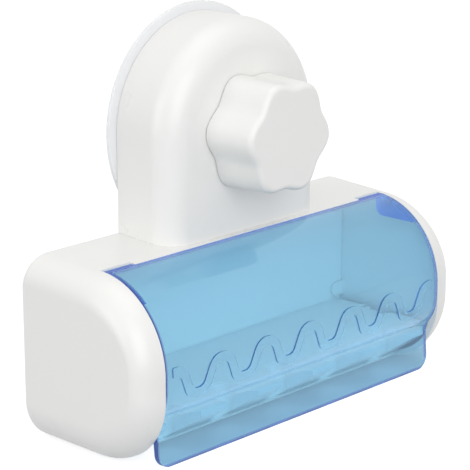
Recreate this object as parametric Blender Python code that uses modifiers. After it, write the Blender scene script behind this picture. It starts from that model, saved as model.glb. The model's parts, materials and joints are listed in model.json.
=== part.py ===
"""Toothbrush holder: a five-bay rack with a flip-up cover, on a screw-down suction mount.

X runs along the rack, -Y faces the user, +Y faces the wall and Z is up.
The origin lies under the middle of the overall box, on the surface the rack stands on.
"""

import math

import bmesh
import bpy
from mathutils import Matrix, Vector

MM = 0.001

# Rack housing, an open-backed barrel-fronted shell with rounded ends
RACK_LENGTH = 155.0 * MM
RACK_BACK = 27.2 * MM
RACK_DEPTH = 54.8 * MM
BARREL_RADIUS = 28.6 * MM
BARREL_HEIGHT = 32.0 * MM
CHIN_RADIUS = 25.0 * MM
TOP_SLOPE = math.radians(3.0)
END_ROUND = 10.0 * MM
END_ROUND_FRONT = 6.6 * MM
END_ROUND_TOP = 9.0 * MM
END_ROUND_BASE = 12.0 * MM
REAR_ROUND = 2.0 * MM
SHELL_WALL = 2.2 * MM
BASE_FRONT = -4.7 * MM

# Flip cover, a bent clear sheet with an ear and a pin at each end
END_CAP_LENGTH = 10.5 * MM
COVER_WALL = 1.8 * MM
COVER_TOP_ANGLE = math.radians(5.0)
COVER_STRAIGHT = 4.5 * MM
COVER_TUCK_RADIUS = 16.0 * MM
COVER_TUCK_ANGLE = math.radians(38.0)
COVER_THROAT_RADIUS = 6.0 * MM
LIP_FLARE = math.radians(4.0)
LIP_CLEARANCE = 0.3 * MM
LIP_CORNER = 5.0 * MM
EDGE_REBATE_WIDTH = 1.1 * MM
EDGE_REBATE_DEPTH = 0.7 * MM
EDGE_REBATE_MARGIN = 12.0 * MM
EAR_THICKNESS = 2.2 * MM
EAR_BACK = 4.3 * MM
EAR_DROP = 4.4 * MM
EAR_ROUND = 3.0 * MM
HINGE_SETBACK = 3.0 * MM
HINGE_DEPTH = 3.6 * MM
HINGE_PIN_RADIUS = 1.6 * MM
HINGE_PIN_LENGTH = 2.0 * MM
HINGE_LUG_THICKNESS = 2.2 * MM
COVER_END_GAP = 0.4 * MM
EDGE_GAP = 0.3 * MM

# Brush rack, an insert with one flared slot for each brush
BAY_COUNT = 5
RACK_PLATE_TOP = 13.8 * MM
RACK_PLATE_WALL = 1.9 * MM
TIP_TO_COVER = 0.4 * MM
SLOT_SEAT_WIDTH = 8.5 * MM
SLOT_MOUTH_WIDTH = 14.0 * MM
SLOT_DEPTH = 12.5 * MM
FINGER_ROUND = 1.4 * MM
RIB_WALL = 1.9 * MM
WING_END_GAP = 2.8 * MM

# Back plate and its screws
BACK_PLATE_WALL = 2.3 * MM
BACK_SCREW_INSET = 5.7 * MM
UPPER_SCREW_DROP = 8.6 * MM
BACK_BOSS_RADIUS = 3.6 * MM
BACK_BOSS_LENGTH = 6.0 * MM
BACK_SCREW_HEAD_RADIUS = 2.5 * MM
BACK_SCREW_HEAD_HEIGHT = 1.1 * MM
BACK_SCREW_SHANK_RADIUS = 1.3 * MM
BACK_SCREW_LENGTH = 6.0 * MM
COUNTERBORE_DEPTH = 1.5 * MM

# Mount housing, a round-topped shell that presses the cup's rim
AXIS_HEIGHT = 94.8 * MM
MOUNT_HALF_WIDTH = 36.85 * MM
MOUNT_BACK = 25.65 * MM
MOUNT_FRONT = 1.1 * MM
MOUNT_ROUND = 9.5 * MM
MOUNT_WALL = 2.2 * MM
MOUNT_FLOOR = 2.6 * MM
RIM_RING_WALL = 2.0 * MM
RIM_RING_DEPTH = 12.0 * MM
GUIDE_RADIUS = 8.5 * MM
GUIDE_LENGTH = 12.0 * MM
WEB_COUNT = 6
WEB_WALL = 1.6 * MM
WEB_DEPTH = 9.0 * MM

# Screws that hold the mount on the rack
MOUNT_SCREW_SPACING = 40.0 * MM
MOUNT_SCREW_Y = 14.0 * MM
MOUNT_SCREW_HEAD_RADIUS = 3.5 * MM
MOUNT_SCREW_HEAD_HEIGHT = 2.2 * MM
MOUNT_SCREW_SHANK_RADIUS = 1.7 * MM
MOUNT_SCREW_LENGTH = 11.0 * MM
MOUNT_BOSS_RADIUS = 4.0 * MM
MOUNT_BOSS_HEIGHT = 11.0 * MM
SPOT_FACE_MARGIN = 0.8 * MM

# Suction cup
CUP_RADIUS = 40.0 * MM
CUP_BACK = 27.6 * MM
CUP_RIM_WALL = 1.65 * MM
CUP_RIM_LAND = 2.2 * MM
CUP_HUB_RADIUS = 13.0 * MM
CUP_HUB_FRONT = 17.5 * MM
CUP_DISH = 2.5 * MM

# Pull stud, with a flanged end held in the cup and two flats in the guide
STUD_FLANGE_RADIUS = 10.0 * MM
STUD_FLANGE_WALL = 2.0 * MM
STUD_FLANGE_BACK = 22.2 * MM
STUD_KEY_RADIUS = 5.5 * MM
STUD_KEY_WIDTH = 8.0 * MM
STUD_THREAD_RADIUS = 4.0 * MM
STUD_TIP = -11.5 * MM

# Knob, nut and washer
KNOB_FRONT = -18.4 * MM
KNOB_LOBE_COUNT = 6
KNOB_LOBE_RADIUS = 19.1 * MM
KNOB_VALLEY_RADIUS = 16.6 * MM
KNOB_LOBE_SHARPNESS = 1.25
KNOB_LOBE_TURN = math.radians(-4.5)
KNOB_DRAFT = 0.5 * MM
KNOB_EDGE_ROUND = 2.0 * MM
KNOB_CORE_OUTER = 14.2 * MM
KNOB_HUB_RADIUS = 9.8 * MM
KNOB_CORE_DEPTH = 12.0 * MM
KNOB_BORE_DEPTH = 16.0 * MM
NUT_ACROSS_FLATS = 13.0 * MM
NUT_THICKNESS = 6.5 * MM
WASHER_RADIUS = 9.4 * MM
WASHER_BORE_RADIUS = 5.0 * MM
WASHER_THICKNESS = 1.0 * MM

# Clearance between pieces that touch or turn in each other
FIT = 0.3 * MM

# Facets on a full turn
FINE_FACETS = 64
ROUND_FACETS = 32
SMALL_FACETS = 16

BELLY = RACK_BACK - RACK_DEPTH
BARREL_Y = BELLY + BARREL_RADIUS
HALF_LENGTH = RACK_LENGTH / 2
HALF_COVER = HALF_LENGTH - END_CAP_LENGTH
COVER_LENGTH = HALF_COVER * 2
HALF_OPENING = HALF_COVER + COVER_END_GAP
CAVITY_HALF = HALF_LENGTH - SHELL_WALL
BAY_PITCH = COVER_LENGTH / BAY_COUNT
RACK_PLATE_BOTTOM = RACK_PLATE_TOP - RACK_PLATE_WALL
BACK_PLATE_FRONT = RACK_BACK - BACK_PLATE_WALL
UPPER_SCREW_HEIGHT = BARREL_HEIGHT + BARREL_RADIUS - UPPER_SCREW_DROP
BACK_SCREW_HEIGHTS = (RACK_PLATE_TOP + FIT + BACK_BOSS_RADIUS, UPPER_SCREW_HEIGHT)


def clear_scene():
    """Remove every object so the script can be run again."""
    for item in list(bpy.data.objects):
        bpy.data.objects.remove(item, do_unlink=True)


def make_collection(name, hidden=False):
    collection = bpy.data.collections.new(name)
    bpy.context.scene.collection.children.link(collection)
    collection.hide_render = hidden
    return collection


def make_material(name, colour, roughness, metallic=0.0, alpha=1.0):
    material = bpy.data.materials.new(name)
    material.use_nodes = True
    shader = material.node_tree.nodes["Principled BSDF"]
    shader.inputs["Base Color"].default_value = (*colour, 1.0)
    shader.inputs["Roughness"].default_value = roughness
    shader.inputs["Metallic"].default_value = metallic
    shader.inputs["Alpha"].default_value = alpha
    material.diffuse_color = (*colour, alpha)
    return material


def object_from(name, bm, collection, material=None):
    """Turn a bmesh into a named object, shaded smooth where it is round."""
    mesh = bpy.data.meshes.new(name)
    bm.to_mesh(mesh)
    bm.free()
    mesh.shade_smooth()
    mesh.set_sharp_from_angle(angle=math.radians(35.0))
    if material:
        mesh.materials.append(material)
    item = bpy.data.objects.new(name, mesh)
    collection.objects.link(item)
    return item


def tool_from(name, bm):
    """Make a shape that only cuts or joins other shapes."""
    item = object_from(name, bm, TOOLS)
    item.hide_render = True
    item.display_type = "WIRE"
    return item


def combine(target, tool, operation="DIFFERENCE"):
    modifier = target.modifiers.new(tool.name, "BOOLEAN")
    modifier.operation = operation
    modifier.solver = "EXACT"
    modifier.object = tool


def arc(centre, radius, start, end, steps):
    """Points on an arc in the YZ plane; heading 0 faces up and 90 degrees faces the user."""
    points = []
    for step in range(steps + 1):
        heading = start + (end - start) * step / steps
        points.append((centre[0] - radius[0] * math.sin(heading), centre[1] + radius[1] * math.cos(heading)))
    return points


def prism(outline, low, high, axis="X"):
    """Extrude a closed outline along X, Y or Z between two coordinates."""
    bm = bmesh.new()
    place = {
        "X": lambda a, b, along: (along, a, b),
        "Y": lambda a, b, along: (a, along, b),
        "Z": lambda a, b, along: (a, b, along),
    }[axis]
    ring = [bm.verts.new(place(a, b, low)) for a, b in outline]
    face = bm.faces.new(ring)
    extruded = bmesh.ops.extrude_face_region(bm, geom=[face])
    moved = [item for item in extruded["geom"] if isinstance(item, bmesh.types.BMVert)]
    shift = Vector(place(0.0, 0.0, high - low))
    bmesh.ops.translate(bm, verts=moved, vec=shift)
    bmesh.ops.recalc_face_normals(bm, faces=bm.faces)
    return bm


def loft(sections):
    """Skin a row of rings that all have the same number of points, and close both ends."""
    bm = bmesh.new()
    rings = [[bm.verts.new(point) for point in section] for section in sections]
    count = len(rings[0])
    for first, second in zip(rings, rings[1:]):
        for index in range(count):
            after = (index + 1) % count
            bm.faces.new((first[index], first[after], second[after], second[index]))
    bm.faces.new(rings[0])
    bm.faces.new(rings[-1])
    bmesh.ops.recalc_face_normals(bm, faces=bm.faces)
    return bm


def cylinder(radius, low, high, axis, place=(0.0, 0.0), facets=ROUND_FACETS):
    """A cylinder along an axis; place gives its two other coordinates in X, Y, Z order."""
    bm = bmesh.new()
    bmesh.ops.create_cone(
        bm, cap_ends=True, segments=facets, radius1=radius, radius2=radius, depth=high - low
    )
    middle = (low + high) / 2
    if axis == "X":
        turn = Matrix.Rotation(math.pi / 2, 4, "Y")
        move = Matrix.Translation((middle, *place))
    elif axis == "Y":
        turn = Matrix.Rotation(math.pi / 2, 4, "X")
        move = Matrix.Translation((place[0], middle, place[1]))
    else:
        turn = Matrix.Identity(4)
        move = Matrix.Translation((*place, middle))
    bm.transform(move @ turn)
    return bm


def box(low, high):
    bm = bmesh.new()
    bmesh.ops.create_cube(bm, size=1.0)
    size = [b - a for a, b in zip(low, high)]
    middle = [(a + b) / 2 for a, b in zip(low, high)]
    bm.transform(Matrix.Translation(middle) @ Matrix.Diagonal((*size, 1.0)))
    return bm


def turned(name, profile, place, material, facets):
    """Spin a profile of (radius, distance toward the user) points about the Y direction."""
    mesh = bpy.data.meshes.new(name)
    points = [(radius, 0.0, along) for radius, along in profile]
    mesh.from_pydata(points, [(i, i + 1) for i in range(len(points) - 1)], [])
    mesh.materials.append(material)
    item = bpy.data.objects.new(name, mesh)
    PARTS.objects.link(item)
    item.location = place
    item.rotation_euler = (math.pi / 2, 0.0, 0.0)
    screw = item.modifiers.new("Turn", "SCREW")
    screw.axis = "Z"
    screw.steps = facets
    screw.render_steps = facets
    screw.use_merge_vertices = True
    screw.merge_threshold = 0.00001
    screw.use_smooth_shade = True
    return item


def top_height(y):
    """Height of the rack's gently sloping top at depth y."""
    start_y = BARREL_Y - BARREL_RADIUS * math.sin(TOP_SLOPE)
    start_z = BARREL_HEIGHT + BARREL_RADIUS * math.cos(TOP_SLOPE)
    return start_z + (y - start_y) * math.tan(TOP_SLOPE)


def housing_outline(front_inset, top_inset, base_inset, rear, rear_round):
    """The barrel-fronted outline in the YZ plane, taken in from its full size."""
    barrel = (BARREL_RADIUS - front_inset, BARREL_RADIUS - top_inset)
    chin = (CHIN_RADIUS - front_inset, CHIN_RADIUS - base_inset)
    chin_centre = (BELLY + CHIN_RADIUS, CHIN_RADIUS)
    top = top_height(rear) - top_inset / math.cos(TOP_SLOPE)
    points = arc((BARREL_Y, BARREL_HEIGHT), barrel, TOP_SLOPE, math.pi / 2, 16)
    points += arc(chin_centre, chin, math.pi / 2, math.pi, 12)
    low = (rear - rear_round, base_inset + rear_round)
    points += arc(low, (rear_round, rear_round), math.pi, math.pi * 1.5, 4)
    high = (rear - rear_round, top - rear_round)
    points += arc(high, (rear_round, rear_round), math.pi * 1.5, math.pi * 2, 4)
    return points


def housing_body(wall, rear, rear_round):
    """Loft the outline along X, with both ends rounded over; wall takes it in all round."""
    half = HALF_LENGTH - wall
    end_round = END_ROUND - wall
    rounds = [size - wall for size in (END_ROUND_FRONT, END_ROUND_TOP, END_ROUND_BASE)]
    sections = []
    steps = 7
    for side in (-1, 1):
        turns = range(steps, -1, -1) if side < 0 else range(steps + 1)
        for step in turns:
            angle = math.pi / 2 * step / steps
            x = side * (half - end_round + end_round * math.sin(angle))
            insets = [wall + size * (1 - math.cos(angle)) for size in rounds]
            outline = housing_outline(*insets, rear, rear_round)
            sections.append([(x, y, z) for y, z in outline])
    return loft(sections)


def cover_profile():
    """The cover's outer face in the YZ plane from its top edge down to its lip."""
    points = arc(
        (BARREL_Y, BARREL_HEIGHT), (BARREL_RADIUS, BARREL_RADIUS), COVER_TOP_ANGLE, math.pi / 2, 18
    )
    tuck_centre = (BELLY + COVER_TUCK_RADIUS, BARREL_HEIGHT - COVER_STRAIGHT)
    tuck_end = math.pi / 2 + COVER_TUCK_ANGLE
    points += arc(tuck_centre, (COVER_TUCK_RADIUS, COVER_TUCK_RADIUS), math.pi / 2, tuck_end, 7)
    last_y, last_z = points[-1]
    throat_centre = (
        last_y - COVER_THROAT_RADIUS * math.sin(tuck_end),
        last_z + COVER_THROAT_RADIUS * math.cos(tuck_end),
    )
    lip_heading = math.pi / 2 - LIP_FLARE
    for step in range(1, 7):
        heading = tuck_end + (lip_heading - tuck_end) * step / 6
        points.append(
            (
                throat_centre[0] + COVER_THROAT_RADIUS * math.sin(heading),
                throat_centre[1] - COVER_THROAT_RADIUS * math.cos(heading),
            )
        )
    start_y, start_z = points[-1]
    bottom = LIP_CLEARANCE
    corner_steps = 6
    for step in range(corner_steps + 1):
        rise = LIP_CORNER * (1 - math.sin(math.pi / 2 * step / corner_steps))
        z = bottom + rise
        points.append((start_y - (start_z - z) * math.tan(LIP_FLARE), z))
    return points


def cover_half_length(z):
    """Half the cover's length at height z; its two lower corners are rounded."""
    rise = z - LIP_CLEARANCE
    if rise >= LIP_CORNER:
        return HALF_COVER
    drop = LIP_CORNER - rise
    return HALF_COVER - LIP_CORNER + math.sqrt(max(LIP_CORNER**2 - drop**2, 0.0))


def throat_face():
    """Depth of the cover's inner face at its narrowest, where it meets the rack's tips."""
    return max(y for y, z in cover_profile() if z < BARREL_HEIGHT) + COVER_WALL


def hinge_axis():
    """The hinge line as (y, z), set back and down from the cover's top edge."""
    edge_y = BARREL_Y - BARREL_RADIUS * math.sin(COVER_TOP_ANGLE)
    edge_z = BARREL_HEIGHT + BARREL_RADIUS * math.cos(COVER_TOP_ANGLE)
    return edge_y - HINGE_SETBACK, edge_z - HINGE_DEPTH


def ear_outline(skin):
    """A D-shaped plate round the hinge whose upper edge lies skin under the barrel."""
    hinge_y, hinge_z = hinge_axis()
    radius = BARREL_RADIUS - skin
    low = hinge_z - EAR_DROP
    back = hinge_y + EAR_BACK
    front_heading = math.acos((low - BARREL_HEIGHT) / radius)
    back_heading = math.asin((BARREL_Y - hinge_y - HINGE_SETBACK) / radius)
    points = arc((BARREL_Y, BARREL_HEIGHT), (radius, radius), back_heading, front_heading, 12)
    corner = (back - EAR_ROUND, low + EAR_ROUND)
    points += arc(corner, (EAR_ROUND, EAR_ROUND), math.pi, math.pi * 1.5, 6)
    points.append((back, points[0][1] - EAR_ROUND / 3))
    points.append((back - EAR_ROUND / 3, points[0][1]))
    return points


def build_rack_housing():
    housing = object_from("rack_housing", housing_body(0.0, RACK_BACK, REAR_ROUND), PARTS, WHITE)
    cavity = housing_body(SHELL_WALL, RACK_BACK + REAR_ROUND * 2, REAR_ROUND)
    combine(housing, tool_from("housing_cavity", cavity))
    hinge_y, hinge_z = hinge_axis()
    edge_y = hinge_y + HINGE_SETBACK + EDGE_GAP
    floor_y = apron_depth(SHELL_WALL)
    behind = RACK_BACK + FIT
    above = RACK_DEPTH * 2
    shelf = RACK_PLATE_TOP + FIT
    opening = [
        (edge_y, above),
        (-above, above),
        (-above, -above),
        (BASE_FRONT, -above),
        (BASE_FRONT, 0.0),
        (floor_y, SHELL_WALL),
        (behind, SHELL_WALL),
        (behind, shelf),
        (edge_y, shelf),
    ]
    combine(housing, tool_from("front_opening", prism(opening, -HALF_OPENING, HALF_OPENING)))
    sweep = cylinder(
        edge_sweep() + FIT, -HALF_OPENING, HALF_OPENING, "X", (hinge_y, hinge_z), ROUND_FACETS
    )
    combine(housing, tool_from("edge_sweep", sweep))
    notch_y = hinge_y + ear_sweep() + FIT
    for side in (-1, 1):
        near, far = sorted((side * (HALF_COVER - EDGE_REBATE_MARGIN - FIT), side * HALF_OPENING))
        notch = box((near, hinge_y, hinge_z - ear_sweep()), (far, notch_y, above))
        combine(housing, tool_from(f"ear_notch_{side}", notch))
    for side in (-1, 1):
        near, far = sorted((side * HALF_OPENING, side * (HALF_OPENING + HINGE_LUG_THICKNESS)))
        lug = tool_from(f"hinge_lug_{side}", prism(ear_outline(SHELL_WALL), near, far))
        combine(housing, lug, "UNION")
        hole = cylinder(
            HINGE_PIN_RADIUS + FIT, near - FIT, far + FIT, "X", (hinge_y, hinge_z), SMALL_FACETS
        )
        combine(housing, tool_from(f"hinge_hole_{side}", hole))
        for height in BACK_SCREW_HEIGHTS:
            add_back_boss(housing, side * (HALF_LENGTH - BACK_SCREW_INSET), height)
    for side in (-1, 1):
        add_mount_screw_hole(housing, side * MOUNT_SCREW_SPACING / 2)
    combine(housing, tool_from("cup_notch", cup_notch(MOUNT_BACK - FIT)))
    return housing


def apron_depth(z):
    """Depth at height z of the slope that runs from the rack's tips down to the base."""
    tip = throat_face() + TIP_TO_COVER
    return BASE_FRONT + (tip - BASE_FRONT) * z / RACK_PLATE_BOTTOM


def edge_sweep():
    """Radius that the rebated middle of the cover's top edge sweeps about the hinge."""
    return math.hypot(HINGE_SETBACK - EDGE_REBATE_WIDTH, HINGE_DEPTH)


def ear_sweep():
    """Radius that an ear and the full top edge beside it sweep about the hinge."""
    return math.hypot(max(EAR_BACK, HINGE_SETBACK), HINGE_DEPTH)


def cup_notch(front):
    """Clearance for the part of the cup that hangs below the rack's top."""
    return cylinder(CUP_RADIUS + FIT * 2, front, RACK_DEPTH, "Y", (0.0, AXIS_HEIGHT), FINE_FACETS)


def add_back_boss(housing, x, z):
    tag = f"{round(x / MM)}_{round(z / MM)}"
    front = BACK_PLATE_FRONT - FIT - BACK_BOSS_LENGTH
    post = cylinder(BACK_BOSS_RADIUS, front, BACK_PLATE_FRONT - FIT, "Y", (x, z), SMALL_FACETS)
    combine(housing, tool_from(f"back_boss_{tag}", post), "UNION")
    hole = cylinder(
        BACK_SCREW_SHANK_RADIUS + FIT, front + FIT * 4, RACK_BACK, "Y", (x, z), SMALL_FACETS
    )
    combine(housing, tool_from(f"back_boss_hole_{tag}", hole))


def mount_seat_height():
    """Underside of the rack's top, made flat where a mount screw's head bears."""
    return top_height(MOUNT_SCREW_Y) - SHELL_WALL + FIT


def add_mount_screw_hole(housing, x):
    place = (x, MOUNT_SCREW_Y)
    seat = mount_seat_height()
    radius = MOUNT_SCREW_HEAD_RADIUS + SPOT_FACE_MARGIN
    spot = cylinder(radius, seat - SHELL_WALL, seat, "Z", place, SMALL_FACETS)
    combine(housing, tool_from(f"spot_face_{round(x / MM)}", spot))
    hole = cylinder(
        MOUNT_SCREW_SHANK_RADIUS + FIT, seat - FIT, seat + SHELL_WALL * 2, "Z", place, SMALL_FACETS
    )
    combine(housing, tool_from(f"mount_hole_{round(x / MM)}", hole))


def rounded_plate_outline(clearance):
    """The back opening in the XZ plane, taken in by a clearance."""
    half = CAVITY_HALF - clearance
    low = SHELL_WALL + clearance
    high = top_height(BACK_PLATE_FRONT) - SHELL_WALL / math.cos(TOP_SLOPE) - clearance
    wide = END_ROUND - SHELL_WALL - clearance
    top_round = END_ROUND_TOP - SHELL_WALL - clearance
    low_round = END_ROUND_BASE - SHELL_WALL - clearance
    points = []
    for side, height, tall, start in (
        (1, high - top_round, top_round, 0.0),
        (-1, high - top_round, top_round, math.pi / 2),
        (-1, low + low_round, low_round, math.pi),
        (1, low + low_round, low_round, math.pi * 1.5),
    ):
        for step in range(8):
            angle = start + math.pi / 2 * step / 7
            x = side * (half - wide) + wide * math.cos(angle)
            points.append((x, height + tall * math.sin(angle)))
    return points


def build_back_plate():
    plate = object_from(
        "back_plate",
        prism(rounded_plate_outline(FIT), BACK_PLATE_FRONT, RACK_BACK, "Y"),
        PARTS,
        WHITE,
    )
    combine(plate, tool_from("plate_notch", cup_notch(BACK_PLATE_FRONT - FIT)))
    for side in (-1, 1):
        for height in BACK_SCREW_HEIGHTS:
            place = (side * (HALF_LENGTH - BACK_SCREW_INSET), height)
            tag = f"{side}_{round(height / MM)}"
            head = cylinder(
                BACK_SCREW_HEAD_RADIUS + FIT,
                RACK_BACK - COUNTERBORE_DEPTH,
                RACK_BACK + FIT,
                "Y",
                place,
                SMALL_FACETS,
            )
            combine(plate, tool_from(f"plate_counterbore_{tag}", head))
            hole = cylinder(
                BACK_SCREW_SHANK_RADIUS + FIT, BACK_PLATE_FRONT - FIT, RACK_BACK, "Y", place, SMALL_FACETS
            )
            combine(plate, tool_from(f"plate_hole_{tag}", hole))
    return plate


def build_back_screws():
    head_front = BACK_SCREW_HEAD_HEIGHT
    profile = [
        (0.0, BACK_SCREW_LENGTH + head_front),
        (BACK_SCREW_SHANK_RADIUS * 0.5, BACK_SCREW_LENGTH + head_front),
        (BACK_SCREW_SHANK_RADIUS, BACK_SCREW_LENGTH),
        (BACK_SCREW_SHANK_RADIUS, head_front),
        (BACK_SCREW_HEAD_RADIUS, head_front),
        (BACK_SCREW_HEAD_RADIUS, 0.0),
        (0.0, 0.0),
    ]
    head_back = RACK_BACK - COUNTERBORE_DEPTH + FIT + BACK_SCREW_HEAD_HEIGHT
    names = iter(("lower_left", "lower_right", "upper_left", "upper_right"))
    for height in BACK_SCREW_HEIGHTS:
        for side in (-1, 1):
            place = (side * (HALF_LENGTH - BACK_SCREW_INSET), head_back, height)
            turned(f"back_screw_{next(names)}", profile, place, STEEL, SMALL_FACETS)


def end_cap_front(x, z):
    """Depth of the inside of an end cap's front wall at a length and a height."""
    across = (x - HALF_LENGTH + END_ROUND) / (END_ROUND - SHELL_WALL)
    taken = 1 - math.sqrt(1 - across**2)
    wide = CHIN_RADIUS - SHELL_WALL - (END_ROUND_FRONT - SHELL_WALL) * taken
    tall = CHIN_RADIUS - SHELL_WALL - (END_ROUND_BASE - SHELL_WALL) * taken
    return BELLY + CHIN_RADIUS - wide * math.sqrt(1 - ((CHIN_RADIUS - z) / tall) ** 2)


def slot_outline(centre):
    """A flared slot in the XY plane: rounded seat, straight flanks and a wide mouth."""
    tip = throat_face() + TIP_TO_COVER
    seat = SLOT_SEAT_WIDTH / 2
    mouth = SLOT_MOUTH_WIDTH / 2
    seat_y = tip + SLOT_DEPTH - seat
    points = [(centre - mouth - FINGER_ROUND, tip - FIT)]
    points.append((centre - mouth - FINGER_ROUND, tip))
    points.append((centre - mouth - FINGER_ROUND * 0.3, tip + FINGER_ROUND * 0.3))
    points.append((centre - mouth, tip + FINGER_ROUND))
    for step in range(9):
        angle = math.pi - math.pi * step / 8
        points.append((centre + seat * math.cos(angle), seat_y + seat * math.sin(angle)))
    points.append((centre + mouth, tip + FINGER_ROUND))
    points.append((centre + mouth + FINGER_ROUND * 0.3, tip + FINGER_ROUND * 0.3))
    points.append((centre + mouth + FINGER_ROUND, tip))
    points.append((centre + mouth + FINGER_ROUND, tip - FIT))
    return points


def build_brush_rack():
    """The slotted insert: a wedge-nosed shelf, cored from below between its ribs."""
    tip = throat_face() + TIP_TO_COVER
    low = SHELL_WALL + FIT
    rear = BACK_PLATE_FRONT - FIT
    side = [
        (tip, RACK_PLATE_TOP),
        (rear, RACK_PLATE_TOP),
        (rear, low),
        (apron_depth(low), low),
        (tip, RACK_PLATE_BOTTOM),
    ]
    rack = object_from("brush_rack", prism(side, -HALF_COVER, HALF_COVER), PARTS, WHITE)
    for end in (-1, 1):
        wing_end = CAVITY_HALF - WING_END_GAP
        near, far = sorted((end * (HALF_COVER - RIB_WALL), end * wing_end))
        front = end_cap_front(wing_end, RACK_PLATE_BOTTOM) + FIT
        wing = box((near, front, RACK_PLATE_BOTTOM), (far, rear, RACK_PLATE_TOP))
        combine(rack, tool_from(f"rack_wing_{end}", wing), "UNION")
    core_front = tip + SLOT_DEPTH + RIB_WALL
    for bay in range(BAY_COUNT):
        centre = (bay - (BAY_COUNT - 1) / 2) * BAY_PITCH
        slot = prism(slot_outline(centre), -RACK_PLATE_TOP, RACK_PLATE_TOP * 2, "Z")
        combine(rack, tool_from(f"brush_slot_{bay + 1}", slot))
        half = (BAY_PITCH - RIB_WALL) / 2
        core = box(
            (centre - half, core_front, -RACK_PLATE_TOP),
            (centre + half, rear - RIB_WALL, RACK_PLATE_BOTTOM),
        )
        combine(rack, tool_from(f"bay_core_{bay + 1}", core))
    return rack


def build_flip_cover():
    hinge_y, hinge_z = hinge_axis()
    bm = bmesh.new()
    rows = []
    for y, z in cover_profile():
        half = cover_half_length(z)
        rows.append([bm.verts.new((side * half, y, z)) for side in (-1, 1)])
    for upper, lower in zip(rows, rows[1:]):
        bm.faces.new((upper[0], upper[1], lower[1], lower[0]))
    bmesh.ops.remove_doubles(bm, verts=bm.verts, dist=0.00001)
    bmesh.ops.recalc_face_normals(bm, faces=bm.faces)
    cover = object_from("flip_cover", bm, PARTS, CLEAR_BLUE)
    front = min(cover.data.polygons, key=lambda face: face.center.y)
    wall = cover.modifiers.new("Sheet", "SOLIDIFY")
    wall.thickness = COVER_WALL
    wall.offset = -1.0 if front.normal.y < 0 else 1.0
    wall.use_even_offset = True
    edge_y = hinge_y + HINGE_SETBACK
    edge_z = hinge_z + HINGE_DEPTH
    reach = HALF_COVER - EDGE_REBATE_MARGIN
    rebate = box(
        (-reach, edge_y - EDGE_REBATE_WIDTH, edge_z - EDGE_REBATE_DEPTH),
        (reach, edge_y + EDGE_REBATE_WIDTH, edge_z + EDGE_REBATE_DEPTH),
    )
    combine(cover, tool_from("edge_rebate", rebate))
    for side in (-1, 1):
        near, far = sorted((side * (HALF_COVER - EAR_THICKNESS), side * (HALF_COVER - FIT * 0.1)))
        ear = tool_from(f"cover_ear_{side}", prism(ear_outline(COVER_WALL / 2), near, far))
        combine(cover, ear, "UNION")
        start, end = sorted((side * (HALF_COVER - EAR_THICKNESS / 2), side * (HALF_COVER + HINGE_PIN_LENGTH)))
        pin = cylinder(HINGE_PIN_RADIUS, start, end, "X", (hinge_y, hinge_z), SMALL_FACETS)
        combine(cover, tool_from(f"hinge_pin_{side}", pin), "UNION")
    pivot = bpy.data.objects.new("cover_hinge", None)
    PARTS.objects.link(pivot)
    pivot.location = (0.0, hinge_y, hinge_z)
    cover.parent = pivot
    cover.location = (0.0, -hinge_y, -hinge_z)
    return cover


def round_top_outline(half_width, bottom, steps=28):
    """An arch in the XZ plane: straight sides and a half-round top about the cup's axis."""
    points = [(half_width, bottom)]
    for step in range(steps + 1):
        angle = math.pi * step / steps
        points.append((half_width * math.cos(angle), AXIS_HEIGHT + half_width * math.sin(angle)))
    points.append((-half_width, bottom))
    return points


def arch_body(inset, bottom, back):
    """The mount's arch with its front edge rounded over; inset takes it in all round."""
    front = MOUNT_FRONT + inset
    radius = MOUNT_ROUND - inset
    half = MOUNT_HALF_WIDTH - inset
    steps = 7
    sections = [[(x, back, z) for x, z in round_top_outline(half, bottom)]]
    for step in range(steps + 1):
        angle = math.pi / 2 * step / steps
        y = front + radius * (1 - math.sin(angle))
        width = half - radius * (1 - math.cos(angle))
        sections.append([(x, y, z) for x, z in round_top_outline(width, bottom)])
    return loft(sections)


def build_mount_housing():
    floor = top_height(MOUNT_BACK)
    below = RACK_PLATE_TOP
    mount = object_from("mount_housing", arch_body(0.0, floor - below, MOUNT_BACK), PARTS, WHITE)
    hollow = arch_body(MOUNT_WALL, floor + MOUNT_FLOOR, MOUNT_BACK + MOUNT_WALL)
    combine(mount, tool_from("mount_hollow", hollow))
    add_rim_ring(mount)
    add_guide(mount)
    for side in (-1, 1):
        x = side * MOUNT_SCREW_SPACING / 2
        place = (x, MOUNT_SCREW_Y)
        top = floor + MOUNT_BOSS_HEIGHT
        post = cylinder(MOUNT_BOSS_RADIUS, floor, top, "Z", place, SMALL_FACETS)
        combine(mount, tool_from(f"mount_boss_{side}", post), "UNION")
        bore = cylinder(MOUNT_SCREW_SHANK_RADIUS + FIT, floor - below, top - FIT * 4, "Z", place, SMALL_FACETS)
        combine(mount, tool_from(f"mount_bore_{side}", bore))
    reach = RACK_LENGTH
    seat = [
        (-reach, top_height(-reach) + FIT),
        (reach, top_height(reach) + FIT),
        (reach, -reach),
        (-reach, -reach),
    ]
    combine(mount, tool_from("mount_seat", prism(seat, -reach, reach)))
    return mount


def add_rim_ring(mount):
    """The round wall that presses the cup's rim where the arch runs on down."""
    outer = MOUNT_HALF_WIDTH - MOUNT_WALL / 2
    inner = outer - RIM_RING_WALL
    back = MOUNT_BACK - FIT
    ring = cylinder(outer, back - RIM_RING_DEPTH, back, "Y", (0.0, AXIS_HEIGHT), FINE_FACETS)
    ring_tool = tool_from("rim_ring", ring)
    reach = (back - RIM_RING_DEPTH - FIT, back + FIT)
    core = cylinder(inner, *reach, "Y", (0.0, AXIS_HEIGHT), FINE_FACETS)
    combine(ring_tool, tool_from("rim_ring_core", core))
    combine(mount, ring_tool, "UNION")


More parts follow.
